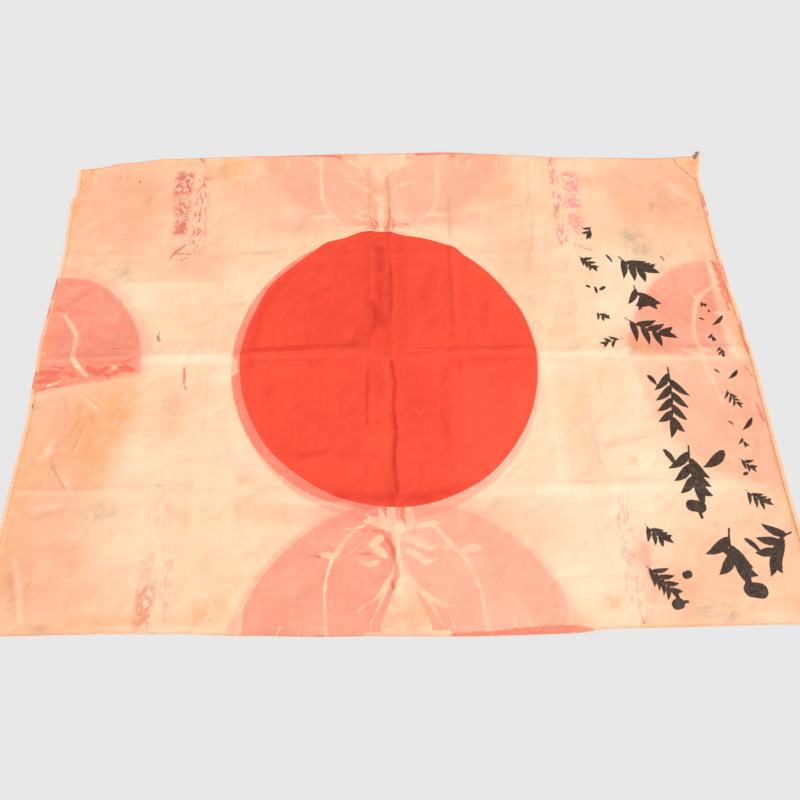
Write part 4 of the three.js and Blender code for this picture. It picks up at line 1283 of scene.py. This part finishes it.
def stitched(name, lines, tree, stitch):
    """A piece made of the stitches along some lines of points in millimetres."""
    points, edges = [], []
    for line in lines:
        edges += [(len(points) + k, len(points) + k + 1) for k in range(len(line) - 1)]
        points += [tuple(np.array(point, float) * MM) for point in line]
    guide = bpy.data.meshes.new(name)
    guide.from_pydata(points, edges, [])
    piece = linked(name, guide)
    modifier = piece.modifiers.new("stitches", "NODES")
    modifier.node_group = tree
    sizes = dict(zip(("Spacing", "Length", "Radius"), stitch))
    for item in tree.interface.items_tree:
        if item.name in sizes:
            modifier[item.identifier] = sizes[item.name] * MM
    ready = piece.evaluated_get(bpy.context.evaluated_depsgraph_get())
    mesh = bpy.data.meshes.new_from_object(ready)
    piece.modifiers.remove(modifier)
    piece.data = mesh
    mesh.polygons.foreach_set("use_smooth", [True] * len(mesh.polygons))
    return piece


# ---- the pieces ----

flag = linked("silk_flag", cloth_mesh())
field_names = [field.name for field in flag.data.attributes if field.data_type == "FLOAT"]
flag.data.materials.append(dyed_silk(field_names))

patch = linked("corner_patch_silk", patch_mesh())
patch.data.materials.append(plain_silk())

tie = linked("tie_stump", tie_mesh())
tie.data.materials.append(twisted_fibre("cotton_cord_browned", "#CC9C7A", "#A0704E", 0.5))

thread = twisted_fibre("silk_thread_browned", "#C6976C", "#9C6E4A", 0.3)
running = stitch_tree(thread)
seams = [front_line([(x, y) for y in np.linspace(-HALF_DROP + SEAM_END, HALF_DROP - SEAM_END, SEAM_POINTS)])
         for x in (LEFT_LINE + SEAM_INSET, RIGHT_LINE - SEAM_INSET)]
hem_stitches = stitched("hem_stitches", seams, running, HEM_STITCH)
patch_stitches = stitched("patch_stitches", [patch_seam()], running, PATCH_STITCH)

# ---- the floor, the light and the camera ----

CAMERA_PLACE = (-0.0127, -0.3011, 0.6646)
CAMERA_LENS = 23.28
CAMERA_DOWN = math.radians(70.52)
CAMERA_TURN = math.radians(-3.34)
CAMERA_ROLL = math.radians(2.22)
LAMP_FROM = (0.48, -0.52, 0.70)
LAMP_POWER = 2.56
LAMP_WIDTH = math.radians(14)  # how wide the lamp looks, which softens its shadows
ROOM_LIGHT = 0.60
CAMERA_SENSOR = 36
CAMERA_NEAR = 0.01
FLOOR_HALF = 12  # metres


def stage_material():
    """Painted board with no shine."""
    material, add = new_material("matt_pale_board")
    surface = add("ShaderNodeBsdfPrincipled", inputs={
        "Base Color": "#D8D8D8", "Roughness": 0.9, "Specular IOR Level": 0.0})
    add("ShaderNodeOutputMaterial", inputs=(surface,))
    return material


def build_stage():
    half = FLOOR_HALF / MM
    corners = [(-half, -half, 0), (half, -half, 0), (half, half, 0), (-half, half, 0)]
    mesh = mesh_of("floor", corners, [(0, 1, 2, 3)])
    mesh.materials.append(stage_material())
    linked("floor", mesh)


def build_light():
    world = bpy.data.worlds.new("soft_studio")
    bpy.context.scene.world = world
    world.use_nodes = True
    background = world.node_tree.nodes["Background"]
    background.inputs["Color"].default_value = (1, 1, 1, 1)
    background.inputs["Strength"].default_value = ROOM_LIGHT
    sun = bpy.data.lights.new("softbox", "SUN")
    sun.energy = LAMP_POWER
    sun.angle = LAMP_WIDTH
    lamp = bpy.data.objects.new("softbox", sun)
    bpy.context.scene.collection.objects.link(lamp)
    lamp.rotation_euler = Vector(LAMP_FROM).to_track_quat("Z", "Y").to_euler()


def build_camera():
    data = bpy.data.cameras.new("camera")
    data.lens = CAMERA_LENS
    data.sensor_width = CAMERA_SENSOR
    data.clip_start = CAMERA_NEAR
    camera = bpy.data.objects.new("camera", data)
    bpy.context.scene.collection.objects.link(camera)
    turn = (Matrix.Rotation(CAMERA_TURN, 3, "Z") @ Matrix.Rotation(math.pi / 2 - CAMERA_DOWN, 3, "X")
            @ Matrix.Rotation(CAMERA_ROLL, 3, "Z"))
    camera.matrix_world = Matrix.Translation(CAMERA_PLACE) @ turn.to_4x4()
    bpy.context.scene.camera = camera


build_stage()
build_light()
build_camera()
bpy.context.scene.view_settings.view_transform = "Standard"

# ---- what each piece rides on ----

for piece, slot in ((flag, "silk"), (hem_stitches, "silk"), (patch, "patch"), (patch_stitches, "patch"),
                    (tie, "tie")):
    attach(piece, "root")
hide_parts("flag_cloth")
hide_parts("corner_patch")
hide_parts("tie_stub")
